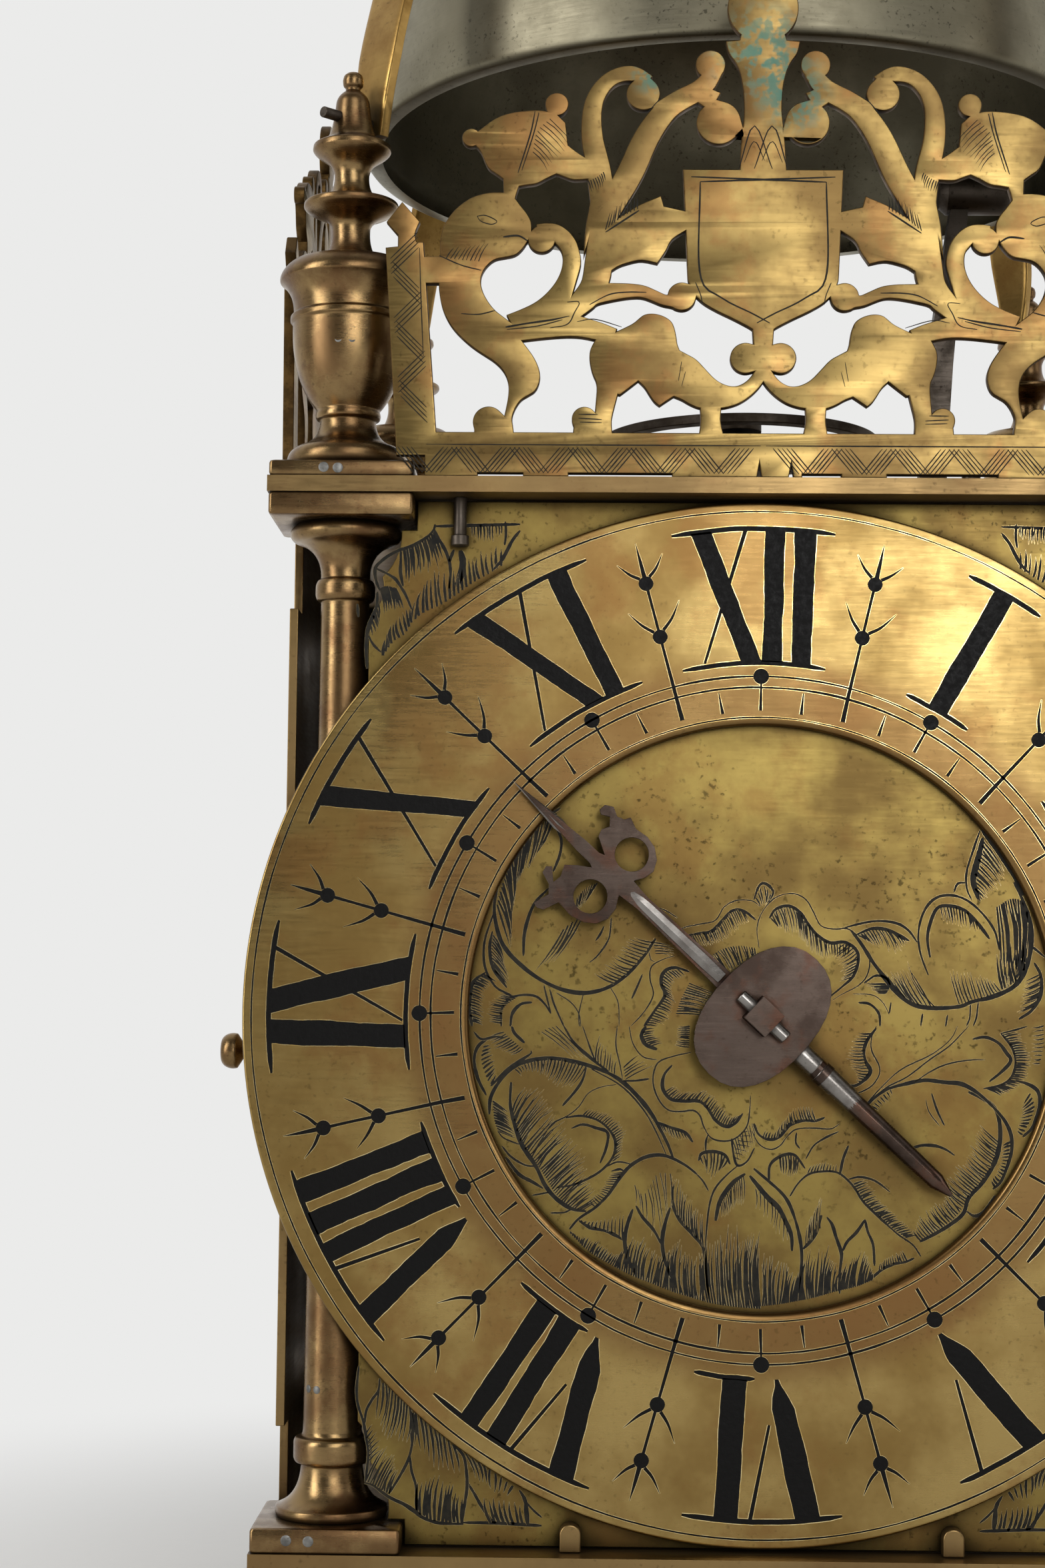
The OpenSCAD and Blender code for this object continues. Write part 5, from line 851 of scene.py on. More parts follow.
DIAL_COMBS = (
    (0.3, 26, (-315, 309, -341, 288, -367, 259, -387, 224, -398, 195, -405, 167), (-338, 259, -358, 225, -375, 201,
      -380, 172, -383, 129, -384, 101)), (0.22, 5, (-273, 150, -288, 142, -302, 130), (-313, 87, -330, 75, -345, 67)),
    (0.2, 16, (-164, 111, -181, 88, -204, 62, -224, 48), (-196, 119, -216, 99, -236, 76, -253, 62)),
    (0.2, 10, (-251, 202, -268, 194, -282, 179), (-268, 173, -279, 162, -286, 156)),
    (0.22, 12, (-411, 120, -413, 92, -408, 66), (-394, 86, -389, 60, -388, 40)),
    (0.25, 20, (-425, 60, -442, 43, -446, 20, -445, -11), (-405, 49, -422, 34, -425, 14, -427, -17)),
    (0.2, 15, (-373, 26, -393, 9, -396, -14), (-396, 32, -416, 14, -416, -11)),
    (0.18, 30, (-111, 122, -92, 126, -75, 129, -58, 146, -43, 161, -26, 161), (-102, 109, -81, 106, -63, 112, -46,
      124, -32, 135, -18, 144)),
    (0.2, 18, (-75, 92, -55, 103, -32, 107, -9, 104), (-49, 58, -35, 61, -20, 67, -6, 70)),
    (0.2, 26, (-127, 70, -149, 63, -152, 45, -148, 28, -161, 5, -175, -15), (-115, 60, -132, 51, -135, 37, -131, 20,
      -143, -6, -158, -17)), (0.2, 14, (-109, 49, -121, 26, -129, 3), (-66, 32, -78, 18, -86, 0)),
    (0.15, 5, (-164, 111, -161, 94), (-135, 106, -132, 91)),
    (0.2, 34, (16, 150, 30, 166, 53, 165, 70, 145, 87, 125, 110, 112, 136, 111), (27, 137, 41, 126, 59, 122, 73, 105,
      93, 92, 110, 91, 133, 91)),
    (0.2, 14, (130, 112, 146, 102, 150, 85, 142, 62), (110, 96, 124, 79, 127, 65, 121, 54)),
    (0.2, 6, (-7, 181, 4, 199, 16, 187), (0, 167, 5, 167, 11, 176)),
    (0.22, 16, (150, 125, 173, 134, 193, 133, 216, 123), (165, 114, 190, 103, 213, 101, 229, 116)),
    (0.2, 16, (277, 168, 297, 171, 317, 162, 337, 141), (282, 146, 305, 141, 328, 135, 345, 127)),
    (0.3, 18, (363, 170, 383, 182, 400, 179, 412, 156), (370, 44, 381, 50, 393, 59, 406, 76)),
    (0.3, 12, (370, 44, 381, 50, 396, 62, 407, 82), (362, 98, 379, 107, 396, 116, 409, 127)),
    (0.22, 10, (216, 34, 239, 20, 267, 16), (193, 66, 213, 66, 227, 83)),
    (0.2, 14, (304, 21, 330, 27, 356, 36, 367, 41), (290, 72, 316, 70, 339, 64, 356, 56)),
    (0.28, 16, (343, 270, 333, 236, 328, 207, 333, 187), (374, 225, 363, 196, 345, 184, 337, 178)),
    (0.22, 14, (429, 68, 428, 42, 418, 19), (404, 56, 401, 30, 395, 8)),
    (0.25, 7, (199, 51, 197, 43, 193, 37), (159, 51, 164, 45, 179, 37)),
    (0.22, 50, (-379, -152, -371, -181, -363, -200, -348, -217, -334, -237, -322, -256, -311, -273, -291, -290, -271,
      -297), (-360, -113, -335, -121, -312, -152, -294, -188, -271, -214, -265, -236, -259, -259, -251, -273, -248,
      -284)), (0.28, 12, (-409, -133, -406, -161, -400, -178), (-384, -150, -380, -172, -374, -189)),
    (0.22, 22, (-375, -84, -352, -73, -326, -68, -301, -69, -266, -78), (-366, -94, -358, -87, -335, -92, -320, -104,
      -289, -109)),
    (0.18, 26, (-271, -154, -249, -160, -231, -172, -223, -188, -223, -205, -225, -222), (-260, -143, -231, -151,
      -211, -168, -206, -179, -211, -199, -211, -213)),
    (0.18, 16, (-251, -291, -234, -274, -219, -254, -207, -238), (-259, -280, -251, -273, -237, -256, -230, -241)),
    (0.15, 11, (-191, -258, -177, -272, -157, -241, -137, -240), (-189, -289, -171, -317, -154, -333, -137, -291)),
    (0.2, 16, (-133, -288, -117, -316, -100, -333, -87, -349), (-134, -243, -117, -263, -100, -288, -88, -302)),
    (0.2, 12, (-273, -312, -253, -323, -230, -329, -209, -340), (-270, -314, -250, -312, -231, -309, -208, -303)),
    (0.28, 80, (-287, -332, -262, -357, -230, -376, -196, -393, -162, -406, -133, -417, -105, -425, -77, -433, -43,
      -438, -1, -441), (-289, -328, -276, -335, -247, -343, -219, -362, -191, -342, -168, -353, -145, -364, -128,
      -344, -105, -364, -77, -344, -43, -335, -1, -335)),
    (0.2, 34, (-144, -116, -134, -127, -112, -129, -92, -131, -74, -149, -54, -166, -35, -159), (-132, -108, -120,
      -116, -100, -116, -80, -116, -60, -135, -43, -152, -27, -149)),
    (0.2, 9, (-181, -23, -179, -37, -169, -48), (-161, -20, -161, -31, -149, -42)),
    (0.2, 11, (-108, -16, -109, -48), (-126, -17, -129, -45)),
    (0.2, 5, (-209, -80, -206, -98), (-189, -63, -166, -78)),
    (0.18, 9, (-154, -163, -134, -171, -117, -178), (-146, -178, -129, -187, -111, -189)),
    (0.22, 9, (-91, -215, -77, -207, -63, -207, -50, -217), (-86, -226, -77, -243, -69, -243, -60, -231)),
    (0.15, 9, (-42, -189, -26, -174, -13, -163), (-34, -220, -20, -208, -9, -197)),
    (0.15, 7, (-40, -214, -37, -197, -29, -177), (-26, -220, -12, -197, -9, -174)),
    (0.15, 5, (-335, -27, -324, -21, -313, -18), (-289, -64, -278, -63, -266, -66)),
    (0.18, 8, (-252, -72, -240, -79, -223, -90), (-246, -35, -238, -49, -220, -69)),
    (0.28, 10, (-424, -51, -427, -71, -418, -99, -412, -107), (-414, -48, -407, -76, -405, -89, -404, -92)),
    (0.2, 10, (-393, -28, -381, -39, -364, -53), (-416, -36, -407, -50, -381, -62)),
    (0.15, 16, (-26, -242, -37, -251, -51, -270, -60, -285), (-26, -287, -37, -287, -50, -301, -59, -304)),
    (0.22, 46, (361, -187, 353, -221, 336, -247, 316, -270, 305, -289, 290, -306, 265, -323, 242, -336), (334, -162,
      325, -188, 308, -222, 280, -250, 282, -270, 265, -284, 245, -301, 231, -321)),
    (0.22, 10, (158, -150, 172, -133, 186, -119, 198, -110), (172, -156, 184, -138, 195, -127, 201, -118)),
    (0.25, 14, (381, -187, 376, -218, 368, -238, 356, -255), (368, -193, 365, -216, 359, -233, 350, -244)),
    (0.25, 28, (140, -254, 155, -277, 174, -296, 197, -316, 220, -332), (160, -246, 177, -270, 194, -289, 217, -310,
      237, -329)), (0.18, 10, (72, -238, 95, -234, 115, -235), (79, -224, 98, -221, 116, -224)),
    (0.2, 12, (180, -383, 199, -373, 222, -367), (183, -369, 200, -360, 215, -352)),
    (0.28, 58, (-13, -438, 21, -435, 55, -429, 83, -423, 114, -414, 146, -406, 168, -397), (-13, -340, 4, -360, 32,
      -371, 55, -390, 72, -359, 100, -353, 120, -381, 146, -361, 157, -355, 171, -386)),
    (0.16, 10, (69, -345, 81, -334, 91, -320), (72, -314, 82, -294, 94, -269)),
    (0.15, 10, (-7, -262, 10, -275, 27, -292, 40, -312), (-7, -293, 10, -306, 27, -329, 41, -340)),
    (0.2, 18, (170, -25, 160, -45, 161, -65, 165, -85, 157, -99), (147, -25, 138, -45, 135, -68, 144, -82, 147, -96)),
    (0.2, 22, (4, -184, 24, -185, 41, -170, 61, -158, 84, -158), (8, -174, 24, -174, 41, -151, 58, -137, 78, -137)),
    (0.12, 8, (112, -108, 121, -128, 135, -145), (155, -126, 155, -139, 149, -149)),
    (0.25, 32, (369, -26, 383, -46, 389, -66, 385, -86, 369, -100, 346, -107), (395, -20, 409, -49, 412, -66, 406,
      -88, 391, -105, 366, -117)),
    (0.28, 11, (411, -114, 417, -133, 411, -153, 399, -176), (400, -131, 397, -148, 394, -159, 391, -170)),
    (0.25, 8, (30, -213, 44, -210, 58, -216), (32, -236, 42, -241, 55, -238)),
    (0.2, 10, (432, -11, 432, -40, 426, -68), (415, -14, 415, -40, 415, -68)),
)
CORNER_LEAF_LINES = (
    (0.4, -508, 757, -442, 759, -375, 761),
    (0.4, -508, 760, -510, 752, -518, 742, -534, 731, -549, 724, -563, 719, -579, 711, -592, 701, -600, 692, -601,
      681, -598, 667, -593, 655), (0.33, -600, 690, -589, 685, -571, 675, -561, 662, -552, 647, -543, 626),
    (0.4, -561, 719, -561, 701, -561, 683, -557, 662),
    (0.42, -510, 753, -503, 739, -496, 727, -489, 713, -484, 696, -483, 677, -485, 659),
    (0.45, -597, 653, -597, 634, -601, 620, -608, 603, -612, 587, -613, 561, -611, 532),
    (0.33, -610, 584, -602, 570, -590, 558), (0.8, -468, 719, -464, 701, -466, 684, -473, 663),
    (0.45, -478, 720, -482, 710, -485, 701), (0.4, -398, 765, -397, 745, -399, 728),
    (0.45, -375, 751, -387, 735, -395, 719, -404, 703, -416, 689), (0.3, -628, 634, -626, 613),
    (0.35, -608, -533, -610, -553, -611, -573, -608, -593, -600, -616, -595, -642, -592, -661, -593, -681, -596,
      -705), (0.33, -576, -551, -578, -569, -588, -584, -596, -600, -598, -618),
    (0.42, -597, -706, -584, -710, -564, -724, -553, -730, -537, -737, -521, -747, -507, -757, -483, -764, -447,
      -765), (0.38, -447, -763, -402, -763, -329, -766),
    (0.38, -527, -600, -525, -621, -526, -649, -532, -673, -544, -696, -560, -722),
    (0.35, -529, -665, -526, -688, -519, -712, -518, -749),
    (0.4, -464, -648, -448, -664, -443, -689, -442, -711, -445, -734, -449, -762),
    (0.35, -442, -703, -431, -720, -419, -740, -402, -763), (0.4, -363, -714, -355, -727, -350, -747, -349, -765),
    (0.25, -355, -729, -342, -743, -329, -754),
)
CORNER_LEAF_COMBS = (
    (0.36, 13, (-556, 720, -542, 725, -525, 736, -510, 748), (-552, 668, -535, 683, -514, 692, -495, 705)),
    (0.36, 8, (-592, 659, -583, 662, -569, 659), (-586, 620, -570, 624, -556, 628)),
    (0.36, 22, (-543, 605, -524, 621, -498, 633, -474, 649, -450, 667, -424, 682, -404, 695), (-537, 643, -519, 670,
      -499, 687, -474, 682, -444, 714, -423, 719, -404, 723)),
    (0.36, 10, (-587, 553, -571, 575, -554, 586, -543, 605), (-584, 579, -574, 600, -562, 614, -546, 628)),
    (0.3, 6, (-608, 603, -601, 620, -595, 634), (-604, 586, -594, 591, -593, 612)),
    (0.25, 11, (-451, 761, -430, 760, -404, 760), (-450, 740, -427, 733, -404, 744)),
    (0.3, 13, (-576, -555, -556, -568, -533, -588, -525, -602), (-581, -610, -559, -641, -541, -643, -522, -649)),
    (0.32, 9, (-521, -601, -494, -623, -464, -648), (-512, -662, -484, -684, -453, -691)),
    (0.3, 9, (-444, -662, -413, -681, -373, -708), (-429, -697, -403, -714, -381, -722)),
    (0.2, 7, (-596, -634, -592, -654, -590, -673), (-587, -620, -576, -642, -573, -657)),
    (0.26, 11, (-595, -703, -582, -710, -560, -722), (-571, -657, -558, -661, -548, -690)),
    (0.4, 13, (-517, -749, -493, -761, -449, -764), (-516, -704, -483, -697, -449, -726)),
    (0.34, 9, (-406, -763, -382, -765, -350, -765), (-417, -724, -399, -728, -355, -733)),
)
FRET_LINES = (
    (0.16, -356, 1403, -363, 1367, -382, 1304), (0.13, -350, 1401, -358, 1367, -376, 1308),
    (0.2, -245, 1210, -193, 1245), (0.12, -445, 1235, -431, 1236, -414, 1227, -423, 1222, -439, 1227, -445, 1235),
    (0.1, -179, 1403, -160, 1425), (0.12, -534, 1184, -531, 1109, -526, 1012),
    (0.14, -503, 1172, -469, 1157, -438, 1149), (0.22, -404, 1202, -381, 1204, -366, 1196),
    (0.16, -468, 1080, -441, 1079, -416, 1085), (0.22, -399, 1059, -365, 1065, -326, 1071, -300, 1077),
    (0.14, -397, 1055, -349, 1061, -311, 1071), (0.12, -330, 1058, -303, 1064, -292, 1083, -285, 1099, -304, 1099),
    (0.16, -269, 1095, -239, 1111, -212, 1115, -181, 1115), (0.12, -288, 1068, -261, 1072, -219, 1060),
    (0.12, -105, 1131, -97, 1111, -94, 1096), (0.08, -126, 1006, -131, 975), (0.08, -120, 990, -126, 967),
    (0.12, -285, 922, -255, 922), (0.12, -285, 916, -249, 914), (0.12, -283, 910, -249, 909),
    (0.22, -98, 1291, 8, 1295, 112, 1299), (0.22, -98, 1291, -98, 1144, -65, 1107, -17, 1082, 10, 1067),
    (0.14, -14, 1312, 14, 1381, 38, 1312), (0.1, -2, 1325, 14, 1356, 30, 1322),
)
FRET_COMBS = (
    (0.11, 10, (-359, 1338, -352, 1371, -333, 1391), (-336, 1308, -315, 1336, -302, 1359)),
    (0.13, 8, (-272, 1292, -259, 1298, -249, 1306), (-267, 1275, -255, 1281, -245, 1291)),
    (0.13, 11, (-245, 1214, -220, 1234, -195, 1247), (-238, 1241, -217, 1261, -194, 1269)),
    (0.11, 9, (-492, 1168, -473, 1166, -442, 1163), (-481, 1184, -450, 1188, -427, 1192)),
)


# Every line is cut this much wider than its width says.
CUT_WIDER = 1.35


def spread(numbers, count):
    """That many points at even steps along the curve through pairs of numbers in tenths of a millimetre."""
    line = smooth_line(np.array(numbers, float).reshape(-1, 2) / 10, 8)
    gone = np.concatenate([[0], np.cumsum(np.linalg.norm(np.diff(line, axis=0), axis=1))])
    at = np.linspace(0, gone[-1], count)
    return np.stack([np.interp(at, gone, line[:, k]) for k in (0, 1)], 1)


def engraved(draw, lines, combs):
    """Burin lines that swell between thin ends, and combs of short strokes cut from full width to a point."""
    cuts = []
    for width, *numbers in lines:
        path = spread(numbers, max(6, 5 * len(numbers) // 2))
        t = np.linspace(0, 1, len(path))
        size = CUT_WIDER * width * (.45 + .55 * np.sin(np.pi * t).clip(0) ** .4) * (1 + waver(draw, len(path), .1))
        cuts.append(stroke(np.column_stack([path, np.maximum(size, .05)])))
    for width, count, starts, tips in combs:
        start, tip = spread(starts, count), spread(tips, count)
        way = (tip - start) * (1 + draw.normal(0, .07, (count, 1)))
        bend = np.stack([-way[:, 1], way[:, 0]], 1) * draw.normal(.03, .03, (count, 1))
        t = np.array([0, .33, .66, 1])[:, None]
        for place, along, side in zip(start, way, bend):
            size = CUT_WIDER * width * np.array([.8, 1, .7, .12]) * (1 + draw.normal(0, .12))
            cuts.append(stroke(np.column_stack([place + along * t + side * 4 * t * (1 - t), size])))
    return cuts


def mirrored(edges):
    """The edges with their mirror images on the other side of the middle."""
    return edges + [(right * [-1, 1], left * [-1, 1]) for left, right in edges]


def post_lines():
    """Zigzags of slanting lines on half of the fret's base and on its post: bands of lines that turn about."""
    base_low, base_high, slant, gap, pitch = 830, 870, 33, 13, 90
    post_foot, post_out, post_in, post_rise, post_lean, width = 903, -560, -518, 42, .073, .13
    rows = [[(-4, base_high + 4), (-520, base_high + 4)]]
    for band in range(6):
        for number in range(5):
            x = -(15 + pitch * band + 7 * number)
            rows.append([(x, base_high), (x - slant, base_low)])
            rows.append([(x - slant - gap, base_low), (x - 2 * slant - gap + 1, base_high)])
        for number in range(4):
            low = post_foot + 5 + 47 * band + 8 * number
            lean = post_lean * (low - post_foot)
            ends = (low, low + post_rise) if band % 2 else (low + post_rise, low)
            rows.append([(post_out - lean, ends[0]), (post_in - lean, ends[1])])
    return [(width, *np.ravel(row)) for row in rows]


# ---------------------------------------------------------------- outlines taken from the frame's flat faces


def face_loops(name, axis, level):
    """Closed outlines, in case millimetres, of the CAD node's flat face at that level of that axis."""
    mesh = NODES[name].data
    points = np.zeros(len(mesh.vertices) * 3)
    mesh.vertices.foreach_get("co", points)
    points = points.reshape(-1, 3) * 1000 + CASE_MIDDLE
    unique, index = np.unique(np.round(points, 3), axis=0, return_inverse=True)
    mesh.calc_loop_triangles()
    corners = np.zeros(len(mesh.loop_triangles) * 3, np.int32)
    mesh.loop_triangles.foreach_get("vertices", corners)
    corners = index.ravel()[corners].reshape(-1, 3)
    flat = corners[(np.abs(unique[corners][:, :, axis] - level) < 0.02).all(1)]
    edges = np.concatenate([flat[:, [0, 1]], flat[:, [1, 2]], flat[:, [2, 0]]])
    count = len(unique)
    keys = edges[:, 0].astype(np.int64) * count + edges[:, 1]
    back = edges[:, 1].astype(np.int64) * count + edges[:, 0]
    rim = edges[~np.isin(keys, back)]
    after = dict(zip(rim[:, 0].tolist(), rim[:, 1].tolist()))
    loops = []
    while after:
        start, here = after.popitem()
        loop = [start]
        while here != start:
            loop.append(here)
            here = after.pop(here)
        loops.append(unique[loop])
    return loops


def softened(loop, keep=38.0, cut=0.6, rounds=2):
    """Cuts each gentle corner of a closed outline twice, a quarter of its sides or a cut at most from it, and
    leaves corners sharper than keep."""
    for _ in range(rounds):
        step_in = loop - np.roll(loop, 1, 0)
        step_out = np.roll(loop, -1, 0) - loop
        length_in = np.linalg.norm(step_in, axis=1)
        length_out = np.linalg.norm(step_out, axis=1)
        cosine = (step_in * step_out).sum(1) / np.maximum(length_in * length_out, 1e-9)
        gentle = np.degrees(np.arccos(np.clip(cosine, -1, 1))) < keep
        near_in = np.where(gentle, np.minimum(.25 * length_in, cut), 0) / np.maximum(length_in, 1e-9)
        near_out = np.where(gentle, np.minimum(.25 * length_out, cut), 0) / np.maximum(length_out, 1e-9)
        both = np.stack([loop - step_in * near_in[:, None], loop + step_out * near_out[:, None]], 1)
        loop = both.reshape(-1, 2)
        gap = np.linalg.norm(loop - np.roll(loop, 1, 0), axis=1)
        loop = loop[gap > 1e-4]
    return loop


def plate_from(name, loops, thickness, bevel):
    """A flat plate in the x, y plane, its face up at z = 0: the filled outlines, its edges rounded by bevel."""
    curve = bpy.data.curves.new(name, "CURVE")
    curve.dimensions = "2D"
    curve.fill_mode = "BOTH"
    curve.extrude = thickness / 2 - bevel
    curve.bevel_depth = bevel
    curve.bevel_resolution = 2
    curve.offset = -bevel
    for loop in loops:
        spline = curve.splines.new("POLY")
        spline.points.add(len(loop) - 1)
        spline.points.foreach_set("co", np.column_stack([loop, np.zeros(len(loop)), np.ones(len(loop))]).ravel())
        spline.use_cyclic_u = True
    holder = bpy.data.objects.new(name, curve)
    mesh = bpy.data.meshes.new_from_object(holder)
    bpy.data.objects.remove(holder)
    bpy.data.curves.remove(curve)
    shape = bmesh.new()
    shape.from_mesh(mesh)
    bmesh.ops.remove_doubles(shape, verts=shape.verts, dist=1e-4)
    bmesh.ops.recalc_face_normals(shape, faces=shape.faces)
    shape.to_mesh(mesh)
    shape.free()
    points = np.zeros(len(mesh.vertices) * 3)
    mesh.vertices.foreach_get("co", points)
    points = points.reshape(-1, 3)
    points[:, 2] -= points[:, 2].max()
    return mesh, points


def place_points(mesh, points):
    """Writes case millimetres into a mesh as row metres."""
    mesh.vertices.foreach_set("co", ((points - CASE_MIDDLE) / 1000).ravel())
    mesh.update()


def edges_darker(mesh, axis, share=0.75):
    """Gives faces that don't look along the axis the second material."""
    normals = np.zeros(len(mesh.polygons) * 3)
    mesh.polygons.foreach_get("normal", normals)
    side = np.abs(normals.reshape(-1, 3)[:, axis]) < share
    mesh.polygons.foreach_set("material_index", side.astype(np.int32))


# ---------------------------------------------------------------- settings


class ClockSizes(bpy.types.PropertyGroup):
    """Sizes that a user would change."""
    edge: bpy.props.FloatProperty(name="Edge", description="How far the sheets' edges are eased, in millimetres",
                                  default=0.3, min=0.05, max=0.6)
    fret_edge: bpy.props.FloatProperty(name="Fret edge", description="Rounding of the frets' edges, in millimetres",
                                       default=0.22, min=0.05, max=0.5)
    cut_height: bpy.props.FloatProperty(name="Wax height", description="How far the wax stands out, in millimetres",
                                        default=0.03, min=0.01, max=0.1)
    # This width sets the bright band beside each cut: bright burred metal and a painted glint.
    burr_glint: bpy.props.FloatProperty(name="Burr", description="Width of the bright burr along a cut, in millimetres",
                                  default=0.11, min=0.0, max=0.3)
    segments: bpy.props.IntProperty(name="Segments", description="Steps round a turned piece",
                                    default=96, min=24, max=256)


class ClockLight(bpy.types.PropertyGroup):
    """The stage's light and colours."""
    backdrop: bpy.props.FloatVectorProperty(name="Backdrop", description="Colour of the floor and backdrop",
                                            subtype="COLOR", size=4, min=0, max=1, default=linear("#ebebea"))
    key: bpy.props.FloatProperty(name="Key", description="Soft light from the upper left", subtype="POWER",
                                 default=11.0, min=0)
    front: bpy.props.FloatProperty(name="Front", description="Small soft light whose reflection lies on the dial",
                                   subtype="POWER", default=4.0, min=0)
    top: bpy.props.FloatProperty(name="Top", description="Soft light above the dial", subtype="POWER",
                                 default=4.0, min=0)
    fill: bpy.props.FloatProperty(name="Fill", description="Soft light from the right", subtype="POWER",
                                  default=2.0, min=0)


SIDES = {"left": -1, "right": 1}
ENDS = {"front": -1, "back": 1}
CORNERS = [(f"{end}_{side}", x * CORNER, y * CORNER) for end, y in ENDS.items() for side, x in SIDES.items()]


# ---------------------------------------------------------------- operators


class CLOCK_OT_finish_frame(bpy.types.Operator):
    """Give every CAD node the material of the real piece"""
    bl_idname = "clock.finish_frame"
    bl_label = "Finish the frame"

    def execute(self, context):
        for name, piece in NODES.items():
            material = finish(FRAME_FINISH.get(name, "hammered_sheet_brass"))
            if not piece.material_slots:
                piece.data.materials.append(material)
            for slot in piece.material_slots:
                slot.material = material
        return {"FINISHED"}


IRON = ("bar_wedges", "wall_spurs", "hanging_hoop", "dial_catches", "strap_pins", "bell_nut", "verge_potence",
        "balance_cock", "hammer", "hammer_mounts", "detent_arbor", "front_bar", "centre_bar", "back_bar",
        "balance_wheel")
STEEL = ("hour_hand", "hour_arbor", "hand_pin", "going_arbor", "strike_arbor", "verge_staff", "fly")
WHEELS = ("hour_wheel", "going_great_wheel", "going_pulley", "second_wheel", "crown_wheel", "strike_great_wheel",
          "strike_pulley", "hoop_wheel", "warning_wheel", "count_wheel")
FRAME_FINISH = {"bell": "cast_bell_bronze", "bell_strap": "hammered_strap_brass", "bell_crown": "turned_cast_brass",
                "chapter_ring": "hand_stoned_ring_brass", "dial_plate": "engraved_sheet_brass",
                **{name: "forged_wrought_iron" for name in IRON},
                **{name: "browned_filed_steel" for name in STEEL[:3]},
                **{name: "polished_arbor_steel" for name in STEEL[3:]},
                **{name: "filed_wheel_brass" for name in WHEELS},
                **{name: "pierced_cast_brass" for name in ("front_fret", "left_fret", "right_fret")},
                **{f"{corner}_{part}": "turned_cast_brass" for corner, _, _ in CORNERS
                   for part in ("foot", "pillar", "finial")},
                "left_door_knob": "turned_cast_brass", "right_door_knob": "turned_cast_brass"}


class CLOCK_OT_turn_feet(bpy.types.Operator):
    """Turn the four feet"""
    bl_idname = "clock.turn_feet"
    bl_label = "Feet"

    def execute(self, context):
        for corner, x, y in CORNERS:
            shape = join(lathe(eased(foot_line()), (x, y, 0), context.scene.clock_sizes.segments),
                         corner_block(x, y, FOOT_TOP, FOOT_BLOCK_TOP))
            show_turned(f"{corner}_foot", "foot", shape)
        return {"FINISHED"}


class CLOCK_OT_turn_pillars(bpy.types.Operator):
    """Turn the four pillars with their end blocks"""
    bl_idname = "clock.turn_pillars"
    bl_label = "Pillars"

    def execute(self, context):
        for corner, x, y in CORNERS:
            low = FLOOR_Z + PILLAR_BLOCK_LOW
            shape = join(lathe(eased(pillar_line()), (x, y, low), context.scene.clock_sizes.segments),
                         corner_block(x, y, FLOOR_Z, low),
                         corner_block(x, y, ROOF_Z - PILLAR_BLOCK_HIGH, ROOF_Z))
            show_turned(f"{corner}_pillar", "pillar", shape)
        return {"FINISHED"}


class CLOCK_OT_turn_finials(bpy.types.Operator):
    """Turn the four corner finials"""
    bl_idname = "clock.turn_finials"
    bl_label = "Finials"

    def execute(self, context):
        for corner, x, y in CORNERS:
            low = TOP_Z + FINIAL_BLOCK
            shape = join(lathe(eased(finial_line(), 0.25), (x, y, low), context.scene.clock_sizes.segments),
                         corner_block(x, y, TOP_Z, low))
            show_turned(f"{corner}_finial", "finial", shape)
        return {"FINISHED"}


class CLOCK_OT_let_in_plugs(bpy.types.Operator):
    """Let the lead plugs into the front left corner's castings"""
    bl_idname = "clock.let_in_plugs"
    bl_label = "Lead plugs"

    def execute(self, context):
        # The urn and the shaft take plugs at a turn from the front, at a radius, a height and a size.
        round_faces = [(turn, 8.72, TOP_Z + 22.2, .68) for turn in (-6.4, 7.7)]
        round_faces += [(turn, 4.44, FLOOR_Z + 22.9, .6) for turn in (-52, -29)]
        flat_faces = ((-2.7, TOP_Z + 1.3), (-.5, TOP_Z + 1.2), (-5.7, FLOOR_Z + 2), (-2.4, FLOOR_Z + 1.9))
        shapes = []
        for turn, r, z, size in round_faces:
            a = math.radians(turn)
            shapes.append(plug(-CORNER + r * math.sin(a), -CORNER - r * math.cos(a), z, turn, size))
        shapes += [plug(-CORNER + x, -CORNER - BLOCK_HALF, z, 0, .8) for x, z in flat_faces]
        show("let_in_lead_plugs", to_mesh("plugs", join(*shapes)), ["lead_plug"], "case")
        return {"FINISHED"}


class CLOCK_OT_turn_knobs(bpy.types.Operator):
    """Turn the doors' knobs"""
    bl_idname = "clock.turn_knobs"
    bl_label = "Door knobs"

    def execute(self, context):
        for side, sign in SIDES.items():
            basis = np.array([[0, 0, sign], [0, 1, 0], [-sign, 0, 0]], float)
            shape = turned_about(lathe(eased(knob_line(), 0.2), segments=40),
                                 (sign * DOOR_FACE, KNOB_Y, KNOB_Z), basis)
            show_turned(f"{side}_door_knob", "knob", shape, f"{side}_door")
        return {"FINISHED"}


class CLOCK_OT_cast_bell(bpy.types.Operator):
    """Cast the bell and turn the finial that holds it"""
    bl_idname = "clock.cast_bell"
    bl_label = "Bell and its finial"

    def execute(self, context):
        show("cast_bell", to_mesh("bell", lathe(bell_line(), (0, 0, RIM_Z), 160, closed=True)),
             ["cast_bell_bronze"], "case", ("bell",), 40)
        stud = trace([0, BELL_TOP - 9.4], [2.1, BELL_TOP - 9.4], [2.4, BELL_TOP - 9.1], [2.4, STRAP_Z + 2.2],
                     [0, STRAP_Z + 2.2])
        shape = join(lathe(eased(crown_line()), (0, 0, STRAP_Z + 2), 96), lathe(stud, segments=32))
        show_turned("bell_crown", "crown", shape)
        return {"FINISHED"}


